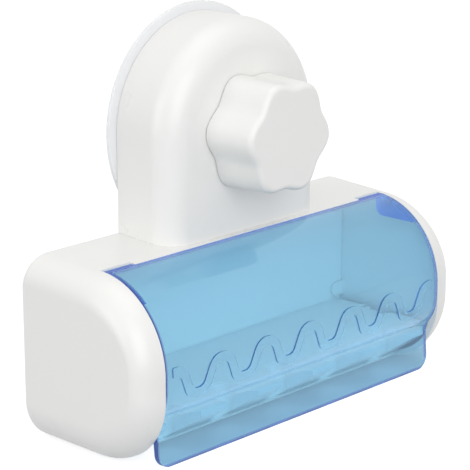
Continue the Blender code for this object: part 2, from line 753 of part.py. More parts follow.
def keyed_outline(radius, width, steps=8):
    """A round section with two flats, in the XZ plane about the cup's axis."""
    half = width / 2
    flat = math.acos(half / radius)
    points = []
    for start in (flat, math.pi + flat):
        sweep = math.pi - 2 * flat
        for step in range(steps + 1):
            angle = start + sweep * step / steps
            points.append((radius * math.cos(angle), AXIS_HEIGHT + radius * math.sin(angle)))
    return points


def add_guide(mount):
    """The keyed guide tube, its radial webs and the hole for the stud's thread."""
    front = MOUNT_FRONT + MOUNT_WALL
    tube = cylinder(GUIDE_RADIUS, front - FIT, front + GUIDE_LENGTH, "Y", (0.0, AXIS_HEIGHT))
    combine(mount, tool_from("guide_tube", tube), "UNION")
    reach = MOUNT_HALF_WIDTH - MOUNT_ROUND / 2
    inner = GUIDE_RADIUS - MOUNT_WALL / 2
    for web in range(WEB_COUNT):
        blade = box((inner, front - FIT, -WEB_WALL / 2), (reach, front + WEB_DEPTH, WEB_WALL / 2))
        turn = Matrix.Rotation(math.tau * (web + 0.5) / WEB_COUNT, 4, "Y")
        blade.transform(Matrix.Translation((0.0, 0.0, AXIS_HEIGHT)) @ turn)
        combine(mount, tool_from(f"guide_web_{web + 1}", blade), "UNION")
    key = prism(
        keyed_outline(STUD_KEY_RADIUS + FIT, STUD_KEY_WIDTH + FIT * 2), front, front + GUIDE_LENGTH * 2, "Y"
    )
    combine(mount, tool_from("guide_key", key))
    hole = cylinder(STUD_THREAD_RADIUS + FIT, MOUNT_FRONT - FIT, front + FIT, "Y", (0.0, AXIS_HEIGHT))
    combine(mount, tool_from("stud_hole", hole))


def build_mount_screws():
    head = MOUNT_SCREW_HEAD_HEIGHT
    profile = [
        (0.0, MOUNT_SCREW_LENGTH + head),
        (MOUNT_SCREW_SHANK_RADIUS * 0.5, MOUNT_SCREW_LENGTH + head),
        (MOUNT_SCREW_SHANK_RADIUS, MOUNT_SCREW_LENGTH),
        (MOUNT_SCREW_SHANK_RADIUS, head),
        (MOUNT_SCREW_HEAD_RADIUS, head),
        (MOUNT_SCREW_HEAD_RADIUS * 0.8, 0.0),
        (0.0, 0.0),
    ]
    base = mount_seat_height() - FIT - head
    for side, name in ((-1, "left"), (1, "right")):
        place = (side * MOUNT_SCREW_SPACING / 2, MOUNT_SCREW_Y, base)
        screw = turned(f"mount_screw_{name}", profile, place, STEEL, SMALL_FACETS)
        screw.rotation_euler = (0.0, 0.0, 0.0)


def build_suction_cup(stud_body):
    """A dished disc with a thick hub that is moulded round the stud's flange."""
    pocket_back = STUD_FLANGE_BACK + FIT
    pocket_front = STUD_FLANGE_BACK - STUD_FLANGE_WALL - FIT
    pocket_radius = STUD_FLANGE_RADIUS + FIT
    neck_radius = STUD_KEY_RADIUS + FIT
    rim_front = CUP_BACK - CUP_RIM_WALL
    seat_inner = MOUNT_HALF_WIDTH - MOUNT_WALL / 2 - RIM_RING_WALL - FIT
    skin = CUP_RIM_WALL / 2
    front = [
        (0.0, pocket_back),
        (pocket_radius, pocket_back),
        (pocket_radius, pocket_front),
        (neck_radius, pocket_front),
        (neck_radius, CUP_HUB_FRONT),
        (CUP_HUB_RADIUS - skin, CUP_HUB_FRONT),
        (CUP_HUB_RADIUS, CUP_HUB_FRONT + skin),
        (CUP_HUB_RADIUS + skin, pocket_back),
    ]
    slope_steps = 4
    for step in range(1, slope_steps + 1):
        part = step / slope_steps
        radius = CUP_HUB_RADIUS + skin + (seat_inner - CUP_HUB_RADIUS - skin) * part
        front.append((radius, pocket_back + (rim_front - pocket_back) * math.sin(part * math.pi / 2)))
    rim = [
        (CUP_RADIUS - skin, rim_front),
        (CUP_RADIUS - skin * 0.3, rim_front + skin * 0.3),
        (CUP_RADIUS, rim_front + skin),
        (CUP_RADIUS, CUP_BACK),
    ]
    land = CUP_RADIUS - CUP_RIM_LAND
    dish_steps = 6
    dish = [
        (land * (1 - step / dish_steps), CUP_BACK - CUP_DISH * math.sin(math.pi / 2 * step / dish_steps))
        for step in range(dish_steps + 1)
    ]
    profile = [(radius, -y) for radius, y in front + rim + dish]
    cup = turned("suction_cup", profile, (0.0, 0.0, AXIS_HEIGHT), CLEAR_SOFT, FINE_FACETS)
    cup.parent = stud_body
    cup.location = (0.0, 0.0, 0.0)
    return cup


def ring(radius, y):
    """A circle of points about the cup's axis at depth y."""
    angles = [math.tau * index / ROUND_FACETS for index in range(ROUND_FACETS)]
    return [(radius * math.cos(angle), y, AXIS_HEIGHT + radius * math.sin(angle)) for angle in angles]


def build_pull_stud(stud_body):
    """A threaded tip, a keyed shank and the flange that pulls on the cup."""
    key_front = MOUNT_FRONT + MOUNT_WALL + FIT
    flange_front = STUD_FLANGE_BACK - STUD_FLANGE_WALL
    overlap = FIT
    bm = prism(keyed_outline(STUD_KEY_RADIUS, STUD_KEY_WIDTH), key_front, flange_front + overlap, "Y")
    stud = object_from("pull_stud", bm, PARTS, STUD_PLASTIC)
    flange = cylinder(STUD_FLANGE_RADIUS, flange_front, STUD_FLANGE_BACK, "Y", (0.0, AXIS_HEIGHT))
    combine(stud, tool_from("stud_flange", flange), "UNION")
    chamfer = STUD_THREAD_RADIUS / 5
    thread = loft(
        [
            ring(STUD_THREAD_RADIUS - chamfer, STUD_TIP),
            ring(STUD_THREAD_RADIUS, STUD_TIP + chamfer),
            ring(STUD_THREAD_RADIUS, key_front + overlap),
        ]
    )
    combine(stud, tool_from("stud_thread", thread), "UNION")
    stud.parent = stud_body
    stud.location = (0.0, 0.0, -AXIS_HEIGHT)
    return stud


def knob_outline(inset, points=72):
    """Six soft lobes about the cup's axis, in the XZ plane."""
    outline = []
    for index in range(points):
        angle = math.tau * index / points
        swell = (1 + math.cos(KNOB_LOBE_COUNT * (angle - KNOB_LOBE_TURN))) / 2
        rise = (KNOB_LOBE_RADIUS - KNOB_VALLEY_RADIUS) * swell**KNOB_LOBE_SHARPNESS
        radius = KNOB_VALLEY_RADIUS + rise - inset
        outline.append((radius * math.cos(angle), AXIS_HEIGHT + radius * math.sin(angle)))
    return outline


def build_knob(knob_body):
    rear = MOUNT_FRONT - FIT
    side_front = KNOB_FRONT + KNOB_EDGE_ROUND
    sections = [[(x, rear, z) for x, z in knob_outline(-KNOB_DRAFT)]]
    steps = 4
    for step in range(steps + 1):
        angle = math.pi / 2 * step / steps
        y = side_front - KNOB_EDGE_ROUND * math.sin(angle)
        inset = KNOB_EDGE_ROUND * (1 - math.cos(angle))
        sections.append([(x, y, z) for x, z in knob_outline(inset)])
    knob = object_from("knob", loft(sections), PARTS, WHITE)
    axis = (0.0, AXIS_HEIGHT)
    core = cylinder(KNOB_CORE_OUTER, rear - KNOB_CORE_DEPTH, rear + FIT, "Y", axis)
    core_tool = tool_from("knob_core", core)
    hub = cylinder(KNOB_HUB_RADIUS, rear - KNOB_CORE_DEPTH - FIT, hub_face(), "Y", axis)
    combine(core_tool, tool_from("knob_hub", hub))
    combine(knob, core_tool)
    bore = cylinder(STUD_THREAD_RADIUS + FIT * 2, rear - KNOB_BORE_DEPTH, rear, "Y", axis)
    combine(knob, tool_from("knob_bore", bore))
    pocket = prism(nut_outline(FIT), hub_face() - NUT_THICKNESS - FIT * 2, rear, "Y")
    combine(knob, tool_from("nut_pocket", pocket))
    knob.parent = knob_body
    knob.location = (0.0, 0.0, -AXIS_HEIGHT)
    return knob


def hub_face():
    """Rear face of the knob's hub, just in front of the washer."""
    return MOUNT_FRONT - FIT - WASHER_THICKNESS - FIT


def nut_outline(clearance):
    radius = (NUT_ACROSS_FLATS / 2 + clearance) / math.cos(math.pi / 6)
    return [
        (radius * math.cos(math.pi / 3 * index), AXIS_HEIGHT + radius * math.sin(math.pi / 3 * index))
        for index in range(6)
    ]


def build_knob_nut(knob_body):
    back = hub_face() - FIT
    nut = object_from("knob_nut", prism(nut_outline(0.0), back - NUT_THICKNESS, back, "Y"), PARTS, BRASS)
    bore = cylinder(
        STUD_THREAD_RADIUS + FIT, back - NUT_THICKNESS - FIT, back + FIT, "Y", (0.0, AXIS_HEIGHT)
    )
    combine(nut, tool_from("nut_bore", bore))
    nut.parent = knob_body
    nut.location = (0.0, 0.0, -AXIS_HEIGHT)
    return nut


def build_thrust_washer():
    back = MOUNT_FRONT - FIT
    front = back - WASHER_THICKNESS
    profile = [
        (WASHER_RADIUS, -front),
        (WASHER_RADIUS, -back),
        (WASHER_BORE_RADIUS, -back),
        (WASHER_BORE_RADIUS, -front),
        (WASHER_RADIUS, -front),
    ]
    return turned("thrust_washer", profile, (0.0, 0.0, AXIS_HEIGHT), WASHER_PLASTIC, ROUND_FACETS)


def make_pivot(name, place):
    pivot = bpy.data.objects.new(name, None)
    PARTS.objects.link(pivot)
    pivot.location = place
    return pivot


clear_scene()
PARTS = make_collection("toothbrush_holder")
TOOLS = make_collection("cutters", hidden=True)
WHITE = make_material("white_gloss_plastic", (0.83, 0.83, 0.81), 0.35)
CLEAR_BLUE = make_material("clear_blue_plastic", (0.20, 0.52, 0.80), 0.08, alpha=0.6)
CLEAR_SOFT = make_material("clear_soft_plastic", (0.80, 0.86, 0.90), 0.15, alpha=0.6)
STUD_PLASTIC = make_material("stud_plastic", (0.80, 0.80, 0.78), 0.45)
WASHER_PLASTIC = make_material("washer_plastic", (0.75, 0.75, 0.72), 0.5)
BRASS = make_material("brass", (0.72, 0.55, 0.25), 0.3, 1.0)
STEEL = make_material("zinc_plated_steel", (0.62, 0.62, 0.60), 0.3, 1.0)

build_rack_housing()
build_back_plate()
build_back_screws()
build_brush_rack()
build_flip_cover()
build_mount_housing()
build_mount_screws()
STUD_BODY = make_pivot("stud_axis", (0.0, 0.0, AXIS_HEIGHT))
build_pull_stud(STUD_BODY)
build_suction_cup(STUD_BODY)
build_thrust_washer()
KNOB_BODY = make_pivot("knob_axis", (0.0, 0.0, AXIS_HEIGHT))
build_knob(KNOB_BODY)
build_knob_nut(KNOB_BODY)
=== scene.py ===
import json
import math
from contextlib import contextmanager
from functools import reduce

import bmesh
import bpy
from bpy.props import FloatProperty, FloatVectorProperty, IntProperty, PointerProperty
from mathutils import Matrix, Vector


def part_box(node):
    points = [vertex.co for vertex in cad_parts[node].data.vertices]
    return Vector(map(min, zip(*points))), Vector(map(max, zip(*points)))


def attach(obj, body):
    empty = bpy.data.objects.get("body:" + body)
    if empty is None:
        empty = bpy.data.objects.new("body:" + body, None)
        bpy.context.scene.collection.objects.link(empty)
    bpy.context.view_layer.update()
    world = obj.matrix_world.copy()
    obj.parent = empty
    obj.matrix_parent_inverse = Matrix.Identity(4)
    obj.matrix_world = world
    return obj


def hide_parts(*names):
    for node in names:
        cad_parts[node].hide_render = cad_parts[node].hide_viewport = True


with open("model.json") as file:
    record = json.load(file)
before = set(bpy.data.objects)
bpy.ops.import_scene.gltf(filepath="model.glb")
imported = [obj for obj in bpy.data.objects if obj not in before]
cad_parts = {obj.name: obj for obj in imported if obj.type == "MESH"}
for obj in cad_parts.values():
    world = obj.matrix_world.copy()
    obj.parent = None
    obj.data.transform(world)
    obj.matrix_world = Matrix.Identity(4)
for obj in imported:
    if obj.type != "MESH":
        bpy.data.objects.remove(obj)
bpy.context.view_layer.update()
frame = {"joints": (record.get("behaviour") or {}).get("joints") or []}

bl_info = {
    "name": "Toothbrush Holder",
    "version": (1, 0, 0),
    "blender": (4, 5, 0),
    "location": "View3D > Sidebar > Toothbrush Holder",
    "description": "Models a toothbrush holder with a flip-up cover and a screw-down suction mount",
    "category": "Object",
}

MM = 0.001
FINISH = "_finish"

COVER_PIN = 2.0 * MM  # how far a hinge pin stands out past the cover's sheet
COVER_TAB = 12.4 * MM  # length of the cover's level tab over each hinge ear
CUP_ROOM = 40.6 * MM  # radius of the room left round the cup
SILL_FRONT = -4.7 * MM  # depth of the mouth's sill, where the brush rack starts to slope
LAP = 0.3 * MM  # how far one form runs into the next before they are joined or cut
GAP = 0.3 * MM  # space left between two pieces
FAR = 120 * MM  # past the rack's top, for tools that cut right through
THREAD_PITCH = 2 * MM  # of the stud and the knob's nut

SIDES = ("left", "right")
MOUNT_SCREWS = [f"mount_screw_{side}" for side in SIDES]
BACK_SCREWS = [f"back_screw_{height}_{side}" for height in ("lower", "upper") for side in SIDES]


# Sizes and colours

def length(name, description, millimetres):
    return FloatProperty(
        name=name, description=description, default=millimetres * MM, min=0.0, unit="LENGTH", precision=5
    )


def angle(name, description, degrees):
    return FloatProperty(
        name=name, description=description, default=math.radians(degrees), subtype="ANGLE"
    )


def colour(name, description, value):
    return FloatVectorProperty(
        name=name, description=description, default=value, size=3, min=0.0, max=1.0, subtype="COLOR"
    )


class RackSizes(bpy.types.PropertyGroup):
    barrel_radius: length("Barrel radius", "Radius of the rack's barrel front", 28.6)
    barrel_height: length("Barrel height", "Height of the barrel's centre line", 32.0)
    chin_radius: length("Chin radius", "Radius under the belly at the rack's ends", 25.0)
    top_slope: angle("Top slope", "Rise of the rack's top toward the wall", 3.0)
    end_round: length("End round", "How far the round of each end runs along the rack", 10.0)
    end_front: length("End round, front", "How far the front draws in at each end", 6.6)
    end_top: length("End round, top", "How far the top draws in at each end", 9.0)
    end_base: length("End round, base", "How far the base draws in at each end", 12.0)
    rear_round: length("Rear round", "Round on the rear edges", 2.0)
    wall: length("Wall", "Thickness of the rack's shell", 2.2)
    edge: length("Edge", "Round on the rack's open edges", 0.4)


class TraySizes(bpy.types.PropertyGroup):
    bays: IntProperty(name="Bays", description="Number of brush slots", default=5, min=1, max=9)
    wall: length("Wall", "Thickness of the plate and its ribs", 1.9)
    seat: length("Seat", "Width of a slot where a brush rests", 8.5)
    mouth: length("Mouth", "Width of a slot at its open end", 14.0)
    slot_depth: length("Slot depth", "How far a slot runs in from the tips", 12.5)
    tip_round: length("Tip round", "Round on each fingertip", 1.4)
    edge: length("Edge", "Round on the insert's edges", 0.35)


class CoverSizes(bpy.types.PropertyGroup):
    wall: length("Wall", "Thickness of the clear sheet", 1.8)
    top_angle: angle("Top angle", "Where the sheet starts on the barrel, from straight up", 5.0)
    straight: length("Straight", "Height of the upright part of the belly", 4.5)
    tuck_radius: length("Tuck radius", "Bend that tucks in under the belly", 16.0)
    tuck_angle: angle("Tuck angle", "How far the sheet tucks in", 38.0)
    throat_radius: length("Throat radius", "Bend that turns out again to the lip", 6.0)
    lip_flare: angle("Lip flare", "How far the lip leans out", 4.0)
    lip_clearance: length("Lip clearance", "Gap under the lip", 0.3)
    lip_corner: length("Lip corner", "Round on the lip's two corners", 5.0)
    ear_thickness: length("Ear thickness", "Thickness of the two hinge ears", 2.2)
    edge: length("Edge", "Round on the sheet's cut edges", 0.3)


class WaveSizes(bpy.types.PropertyGroup):
    pitch: length("Pitch", "Length of one wave", 20.9)
    half_width: length("Half width", "Half the width of the raised band", 1.65)
    height: length("Height", "How far the band stands out", 0.5)
    crest_radius: length("Crest radius", "Bend over the crest, along the band's middle", 4.2)
    trough_radius: length("Trough radius", "Bend through the trough, along the band's middle", 4.3)
    crest_height: length("Crest height", "Height of the crest's centre", 28.75)
    trough_height: length("Trough height", "Height of the trough's centre", 28.25)
    crest_flat: length("Crest flat", "Level stretch over the crest", 1.0)
    trough_flat: length("Trough flat", "Level stretch through the trough", 0.9)
    rise: length("Rise", "Length from a trough's centre to the next crest's", 9.7)
    left_end: length("Left end", "How far the band runs to the left of the middle", 64.5)
    right_end: length("Right end", "How far the band runs to the right of the middle", 63.4)


class MountSizes(bpy.types.PropertyGroup):
    front_round: length("Front round", "Round on the front of the arch", 9.5)
    wall: length("Wall", "Thickness of the mount's shell", 2.2)
    edge: length("Edge", "Round on the mount's rear edge", 0.35)


class KnobSizes(bpy.types.PropertyGroup):
    lobes: IntProperty(name="Lobes", description="Number of soft lobes", default=6, min=3, max=12)
    lobe_radius: length("Lobe radius", "Radius at a lobe", 19.5)
    valley_radius: length("Valley radius", "Radius between two lobes", 17.0)
    sharpness: FloatProperty(
        name="Lobe sharpness", description="1 for an even wave, less for broader lobes", default=0.9, min=0.1
    )
    lobe_turn: angle("Lobe turn", "Turn of the lobes from level", -6.5)
    edge: length("Edge", "Round on the knob's front edge", 2.0)
    draft: length("Draft", "How much wider the knob is at the rear", 0.9)


class Finishes(bpy.types.PropertyGroup):
    white: colour("White plastic", "Colour of the white mouldings", (0.86, 0.86, 0.845))
    blue: colour("Clear blue plastic", "Surface tint of the cover", (0.50, 0.87, 1.0))
    depth: colour("Clear blue depth", "Colour that the cover takes on where it is thick", (0.0, 0.60, 1.0))
    density: FloatProperty(
        name="Clear blue density", description="How fast the cover takes on its colour", default=60.0, min=0.0
    )
    # Painted shade: a deeper blue laid on the cover's cut edges, ears and the rounds beside them, for the
    # clear sheet's dark-looking edges.
    ends: colour("Clear blue ends", "Tint on the cover's cut edges and ears", (0.23, 0.29, 0.66))
    # Painted glow: light given out by the cover's cut edges and ears, which are no lamp.
    glow: colour(
        "Clear blue edge glow", "Light that the cover's cut edges and ears give out", (0.008, 0.024, 0.07)
    )
    # Painted glow: a faint blue light given out all over the cover, which is no lamp.
    scatter: colour("Clear blue scatter", "Light that the tint gives back all over", (0.0, 0.010, 0.040))
    clear: colour("Clear soft plastic", "Tint of the suction cup", (0.96, 0.97, 0.98))
    stud: colour("Stud plastic", "Colour of the pull stud", (0.80, 0.80, 0.78))
    washer: colour("Washer plastic", "Colour of the slip ring", (0.75, 0.75, 0.72))
    brass: colour("Brass", "Colour of the knob's nut", (0.72, 0.55, 0.25))
    steel: colour("Plated steel", "Colour of the screws", (0.62, 0.62, 0.60))


class StageSettings(bpy.types.PropertyGroup):
    lens: FloatProperty(name="Lens", description="Focal length in millimetres", default=154.34, min=1.0)
    turn: angle("Camera turn", "Turn of the camera about the upright", -46.28)
    tilt: angle("Camera tilt", "Tilt of the camera from straight down", 74.01)
    floor: length("Floor", "Side of the floor", 6000.0)
    room: FloatProperty(name="Room light", description="Strength of the even light", default=0.66, min=0.0)


# Modelling by hand

def activate(piece):
    """Select this piece alone."""
    bpy.ops.object.select_all(action="DESELECT")
    piece.select_set(True)
    bpy.context.view_layer.objects.active = piece


def begin(shape, **settings):
    """Add a primitive alone and settle its size and place in its mesh."""
    bpy.ops.object.select_all(action="DESELECT")
    getattr(bpy.ops.mesh, f"primitive_{shape}_add")(**settings)
    bpy.ops.object.transform_apply(location=True, rotation=True, scale=True)
    return bpy.context.object


def block(low, high):
    """A box between its lowest and highest corners."""
    middle = [(a + b) / 2 for a, b in zip(low, high)]
    size = [b - a for a, b in zip(low, high)]
    return begin("cube", size=1.0, location=middle, scale=size)


def rod(radius, low, high, axis, place, facets):
    """A cylinder along X, Y or Z; place gives its two other coordinates in order."""
    middle = (low + high) / 2
    location = {"X": (middle, *place), "Y": (place[0], middle, place[1]), "Z": (*place, middle)}[axis]
    turn = {"X": (0.0, math.pi / 2, 0.0), "Y": (math.pi / 2, 0.0, 0.0), "Z": (0.0, 0.0, 0.0)}[axis]
    return begin(
        "cylinder", vertices=facets, radius=radius, depth=high - low, location=location, rotation=turn
    )


@contextmanager
def editing(piece):
    activate(piece)
    bpy.ops.object.mode_set(mode="EDIT")
    yield
    bpy.ops.object.mode_set(mode="OBJECT")


def pick(kind, test):
    """In edit mode, select the vertices, edges or faces whose middle and self pass a test."""
    bpy.ops.mesh.select_mode(type=kind)
    bpy.ops.mesh.select_all(action="DESELECT")
    mesh = bpy.context.object.data
    shape = bmesh.from_edit_mesh(mesh)
    found = 0
    for item in {"VERT": shape.verts, "EDGE": shape.edges, "FACE": shape.faces}[kind]:
        middle = item.co if kind == "VERT" else sum((v.co for v in item.verts), Vector()) / len(item.verts)
        if test(middle, item):
            item.select_set(True)
            found += 1
    if not found:
        raise RuntimeError(f"{bpy.context.object.name}: nothing there to select")
    if kind == "VERT":
        shape.select_flush_mode()
    bmesh.update_edit_mesh(mesh)


def joint_place(name):
    return Vector(next(joint["pos_m"] for joint in frame["joints"] if joint["name"] == name))


def cup_axis():
    """Height of the axis that the cup, the stud and the knob share."""
    return joint_place("knob_turn").z


def disc(radius, front, back, facets):
    """A cylinder about the cup's axis."""
    return rod(radius, front, back, "Y", (0.0, cup_axis()), facets)


def middle_of(name):
    """The middle of a solid's box."""
    low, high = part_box(name)
    return (low + high) / 2


def stretch(side, inner, outer):
    """The lowest and highest X between two distances from the middle, on one side."""
    return sorted((side * inner, side * outer))


def near(value, target):
    return abs(value - target) < 0.02 * MM


def along(edge, axis):
    """Whether an edge runs along X, Y or Z."""
    step = edge.verts[1].co - edge.verts[0].co
    return abs(step["XYZ".index(axis)]) > 0.999 * step.length


def pull(x=0.0, y=0.0, z=0.0):
    """Extrude what is selected by an offset."""
    bpy.ops.mesh.extrude_region_move(TRANSFORM_OT_translate={"value": (x, y, z)})


def shift(x=0.0, y=0.0, z=0.0):
    bpy.ops.transform.translate(value=(x, y, z))


def resize(x, y, z, about=(0.0, 0.0, 0.0)):
    bpy.ops.transform.resize(value=(x, y, z), center_override=about)


def rotate(turn, axis, about=(0.0, 0.0, 0.0)):
    bpy.ops.transform.rotate(value=turn, orient_axis=axis, center_override=about)


def pick_all():
    bpy.ops.mesh.select_all(action="SELECT")


def face_outward():
    bpy.ops.mesh.normals_make_consistent(inside=False)


def round_off(width, steps, affect="EDGES"):
    bpy.ops.mesh.bevel(offset=width, offset_type="OFFSET", segments=steps, affect=affect, profile=0.5)


def keep_corner(x, y, z):
    """In edit mode, leave one corner of a plane with sides of 1 and move it to a place."""
    pick("VERT", lambda middle, _: middle.x > 0 or middle.y > 0)
    bpy.ops.mesh.delete(type="VERT")
    pick_all()
    shift(0.5 + x, 0.5 + y, z)


def trim(place, outward, close=True):
    """Cut off what lies past a plane, in edit mode, and close the cut."""
    pick_all()
    bpy.ops.mesh.bisect(
        plane_co=place, plane_no=outward, clear_outer=True, use_fill=close, threshold=0.001 * MM
    )


def tidy_mesh(piece, gap=0.002 * MM):
    """Merge doubles and turn every face outward."""
    with editing(piece):
        pick_all()
        bpy.ops.mesh.remove_doubles(threshold=gap)
        face_outward()


def modify(piece, kind, **settings):
    """Add a modifier with its settings and apply it."""
    modifier = piece.modifiers.new(kind.title(), kind)
    for key, value in settings.items():
        setattr(modifier, key, value)
    activate(piece)
    bpy.ops.object.modifier_apply(modifier=modifier.name)


def merge(piece, tool, operation):
    """Cut with a tool, add it or keep what both share, and remove the tool."""
    modify(piece, "BOOLEAN", operation=operation, solver="EXACT", object=tool)
    bpy.data.objects.remove(tool, do_unlink=True)


def cut(piece, *tools):
    for tool in tools:
        merge(piece, tool, "DIFFERENCE")


def add(piece, *tools):
    for tool in tools:
        merge(piece, tool, "UNION")


def soften(piece, width, limit=50.0):
    """Round every edge that turns by more than a limit, in two steps."""
    modify(
        piece, "BEVEL", width=width, segments=2, limit_method="ANGLE", angle_limit=math.radians(limit),
        use_clamp_overlap=True,
    )


def thicken(piece, wall, side):
    modify(piece, "SOLIDIFY", thickness=wall, offset=side, use_even_offset=True)


def settle(piece):
    """Put the object's place and turn into its mesh."""
    activate(piece)
    bpy.ops.object.transform_apply(location=True, rotation=True, scale=True)


def deliver(piece, name, slot, body, *nodes, smooth=30.0):
    """Name a finished piece, shade it, give it its finish, hang it on its body and hide the parts it stands
    for.
    """
    piece.name = name
    piece.data.name = name
    activate(piece)
    bpy.ops.object.shade_smooth_by_angle(angle=math.radians(smooth))
    modify(piece, "WEIGHTED_NORMAL", keep_sharp=True)
    piece.data.materials.clear()
    piece.data.materials.append(bpy.data.materials[slot + FINISH])
    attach(piece, body)
    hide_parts(*nodes)


# Finishes

def feed(tree, value, socket):
    """Link an output to an input, or set the input to a plain value."""
    if isinstance(value, bpy.types.NodeSocket):
        tree.links.new(value, socket)
    else:
        socket.default_value = value


def feed_named(tree, made, **values):
    """Feed a node's inputs by name."""
    for key, value in values.items():
        feed(tree, value, made.inputs[key.replace("_", " ")])


def node(tree, kind, **values):
    """Add a shader node, set its own options and feed its inputs by name."""
    made = tree.nodes.new(kind)
    for key, value in values.items():
        if hasattr(made, key):
            setattr(made, key, value)
        else:
            feed_named(tree, made, **{key: value})
    return made


def maths(tree, operation, *values, clamp=False):
    made = node(tree, "ShaderNodeMath", operation=operation, use_clamp=clamp)
    for value, socket in zip(values, made.inputs):
        feed(tree, value, socket)
    return made.outputs[0]


def ramp(tree, value, start, end, low=0.0, high=1.0):
    """Runs from low to high while a value runs from start to end."""
    made = node(
        tree, "ShaderNodeMapRange", Value=value, From_Min=start, From_Max=end, To_Min=low, To_Max=high
    )
    return made.outputs["Result"]


def blend(tree, share, first, second):
    """Mix two colours, each an output or a red, green and blue."""
    made = node(tree, "ShaderNodeMix", data_type="RGBA")
    feed(tree, share, made.inputs[0])
    for shade, socket in ((first, made.inputs[6]), (second, made.inputs[7])):
        feed(tree, shade if isinstance(shade, bpy.types.NodeSocket) else (*shade, 1.0), socket)
    return made.outputs[2]


def choose_shader(tree, share, first, second, output="Material Output"):
    """Show the first shader where the share is 0 and the second where it is 1."""
    mix = node(tree, "ShaderNodeMixShader")
    for value, socket in zip((share, first.outputs[0], second.outputs[0]), mix.inputs):
        feed(tree, value, socket)
    feed_named(tree, tree.nodes[output], Surface=mix.outputs[0])


def main_shader(material):
    """A material's nodes and the shader that all its pieces share."""
    return material.node_tree, material.node_tree.nodes["Principled BSDF"]


def surface_group():
    """Fine moulded surface: slow waviness, a fine grain, colour drift and worn edges."""
    tree = bpy.data.node_groups.new("moulded_surface", "ShaderNodeTree")
    for name, value in (("Waviness", 0.3), ("Grain", 0.1), ("Wear", 0.3), ("Roughness", 0.3)):
        socket = tree.interface.new_socket(name, in_out="INPUT", socket_type="NodeSocketFloat")
        socket.default_value = value
    for name in ("Roughness", "Drift", "Wear", "Height"):
        tree.interface.new_socket(name, in_out="OUTPUT", socket_type="NodeSocketFloat")
    given = node(tree, "NodeGroupInput").outputs
    place = node(tree, "ShaderNodeTexCoord").outputs["Object"]

    def noise(scale, detail, rough):
        made = node(tree, "ShaderNodeTexNoise", Vector=place, Scale=scale, Detail=detail, Roughness=rough)
        return made.outputs["Fac"]

    wavy = maths(tree, "MULTIPLY", noise(95.0, 2.0, 0.4), given["Waviness"])
    grainy = maths(tree, "MULTIPLY", noise(2600.0, 3.0, 0.55), given["Grain"])
    smudge = noise(38.0, 5.0, 0.6)
    rounded = node(tree, "ShaderNodeBevel", Radius=0.35 * MM, samples=4)
    facing = node(tree, "ShaderNodeNewGeometry")
    turn = node(tree, "ShaderNodeVectorMath", operation="DOT_PRODUCT")
    feed(tree, rounded.outputs["Normal"], turn.inputs[0])
    feed(tree, facing.outputs["Normal"], turn.inputs[1])
    edge = ramp(tree, turn.outputs["Value"], 0.995, 0.80)
    worn = maths(tree, "MULTIPLY", maths(tree, "MULTIPLY", edge, given["Wear"]), smudge)
    rough = maths(tree, "ADD", ramp(tree, smudge, 0.3, 0.7, -0.03, 0.04), given["Roughness"])
    node(
        tree, "NodeGroupOutput", Roughness=maths(tree, "MULTIPLY_ADD", worn, 0.35, rough),
        Drift=smudge, Wear=worn, Height=maths(tree, "ADD", wavy, grainy),
    )
    return tree


def finish(name, base, roughness, waviness=0.3, grain=0.1, wear=0.3, drift=0.03, **settings):
    """A material on the shared surface, with its own colour, drift and edge wear."""
    material = bpy.data.materials.new(name + FINISH)
    material.use_nodes = True
    tree, shader = main_shader(material)
    group = bpy.data.node_groups.get("moulded_surface") or surface_group()
    surface = node(
        tree, "ShaderNodeGroup", node_tree=group,
        Waviness=waviness, Grain=grain, Wear=wear, Roughness=roughness,
    ).outputs
    darker = tuple(part * (1 - drift) for part in base)
    lighter = tuple(min(part * (1 + drift) + 0.02, 1.0) for part in base)
    shade = blend(tree, surface["Drift"], darker, base)
    bump = node(tree, "ShaderNodeBump", Strength=0.25, Distance=0.03 * MM, Height=surface["Height"])
    feed_named(
        tree, shader, Base_Color=blend(tree, surface["Wear"], shade, lighter),
        Roughness=surface["Roughness"], Normal=bump.outputs["Normal"], **settings,
    )
    return material


def let_light_through(material, tint):
    """Let lamps light what is behind a clear piece."""
    tree, shader = main_shader(material)
    path = node(tree, "ShaderNodeLightPath").outputs
    clear = node(tree, "ShaderNodeBsdfTransparent", Color=(*tint, 1.0))
    choose_shader(tree, maths(tree, "MAXIMUM", path["Is Shadow Ray"], path["Is Diffuse Ray"]), shader, clear)


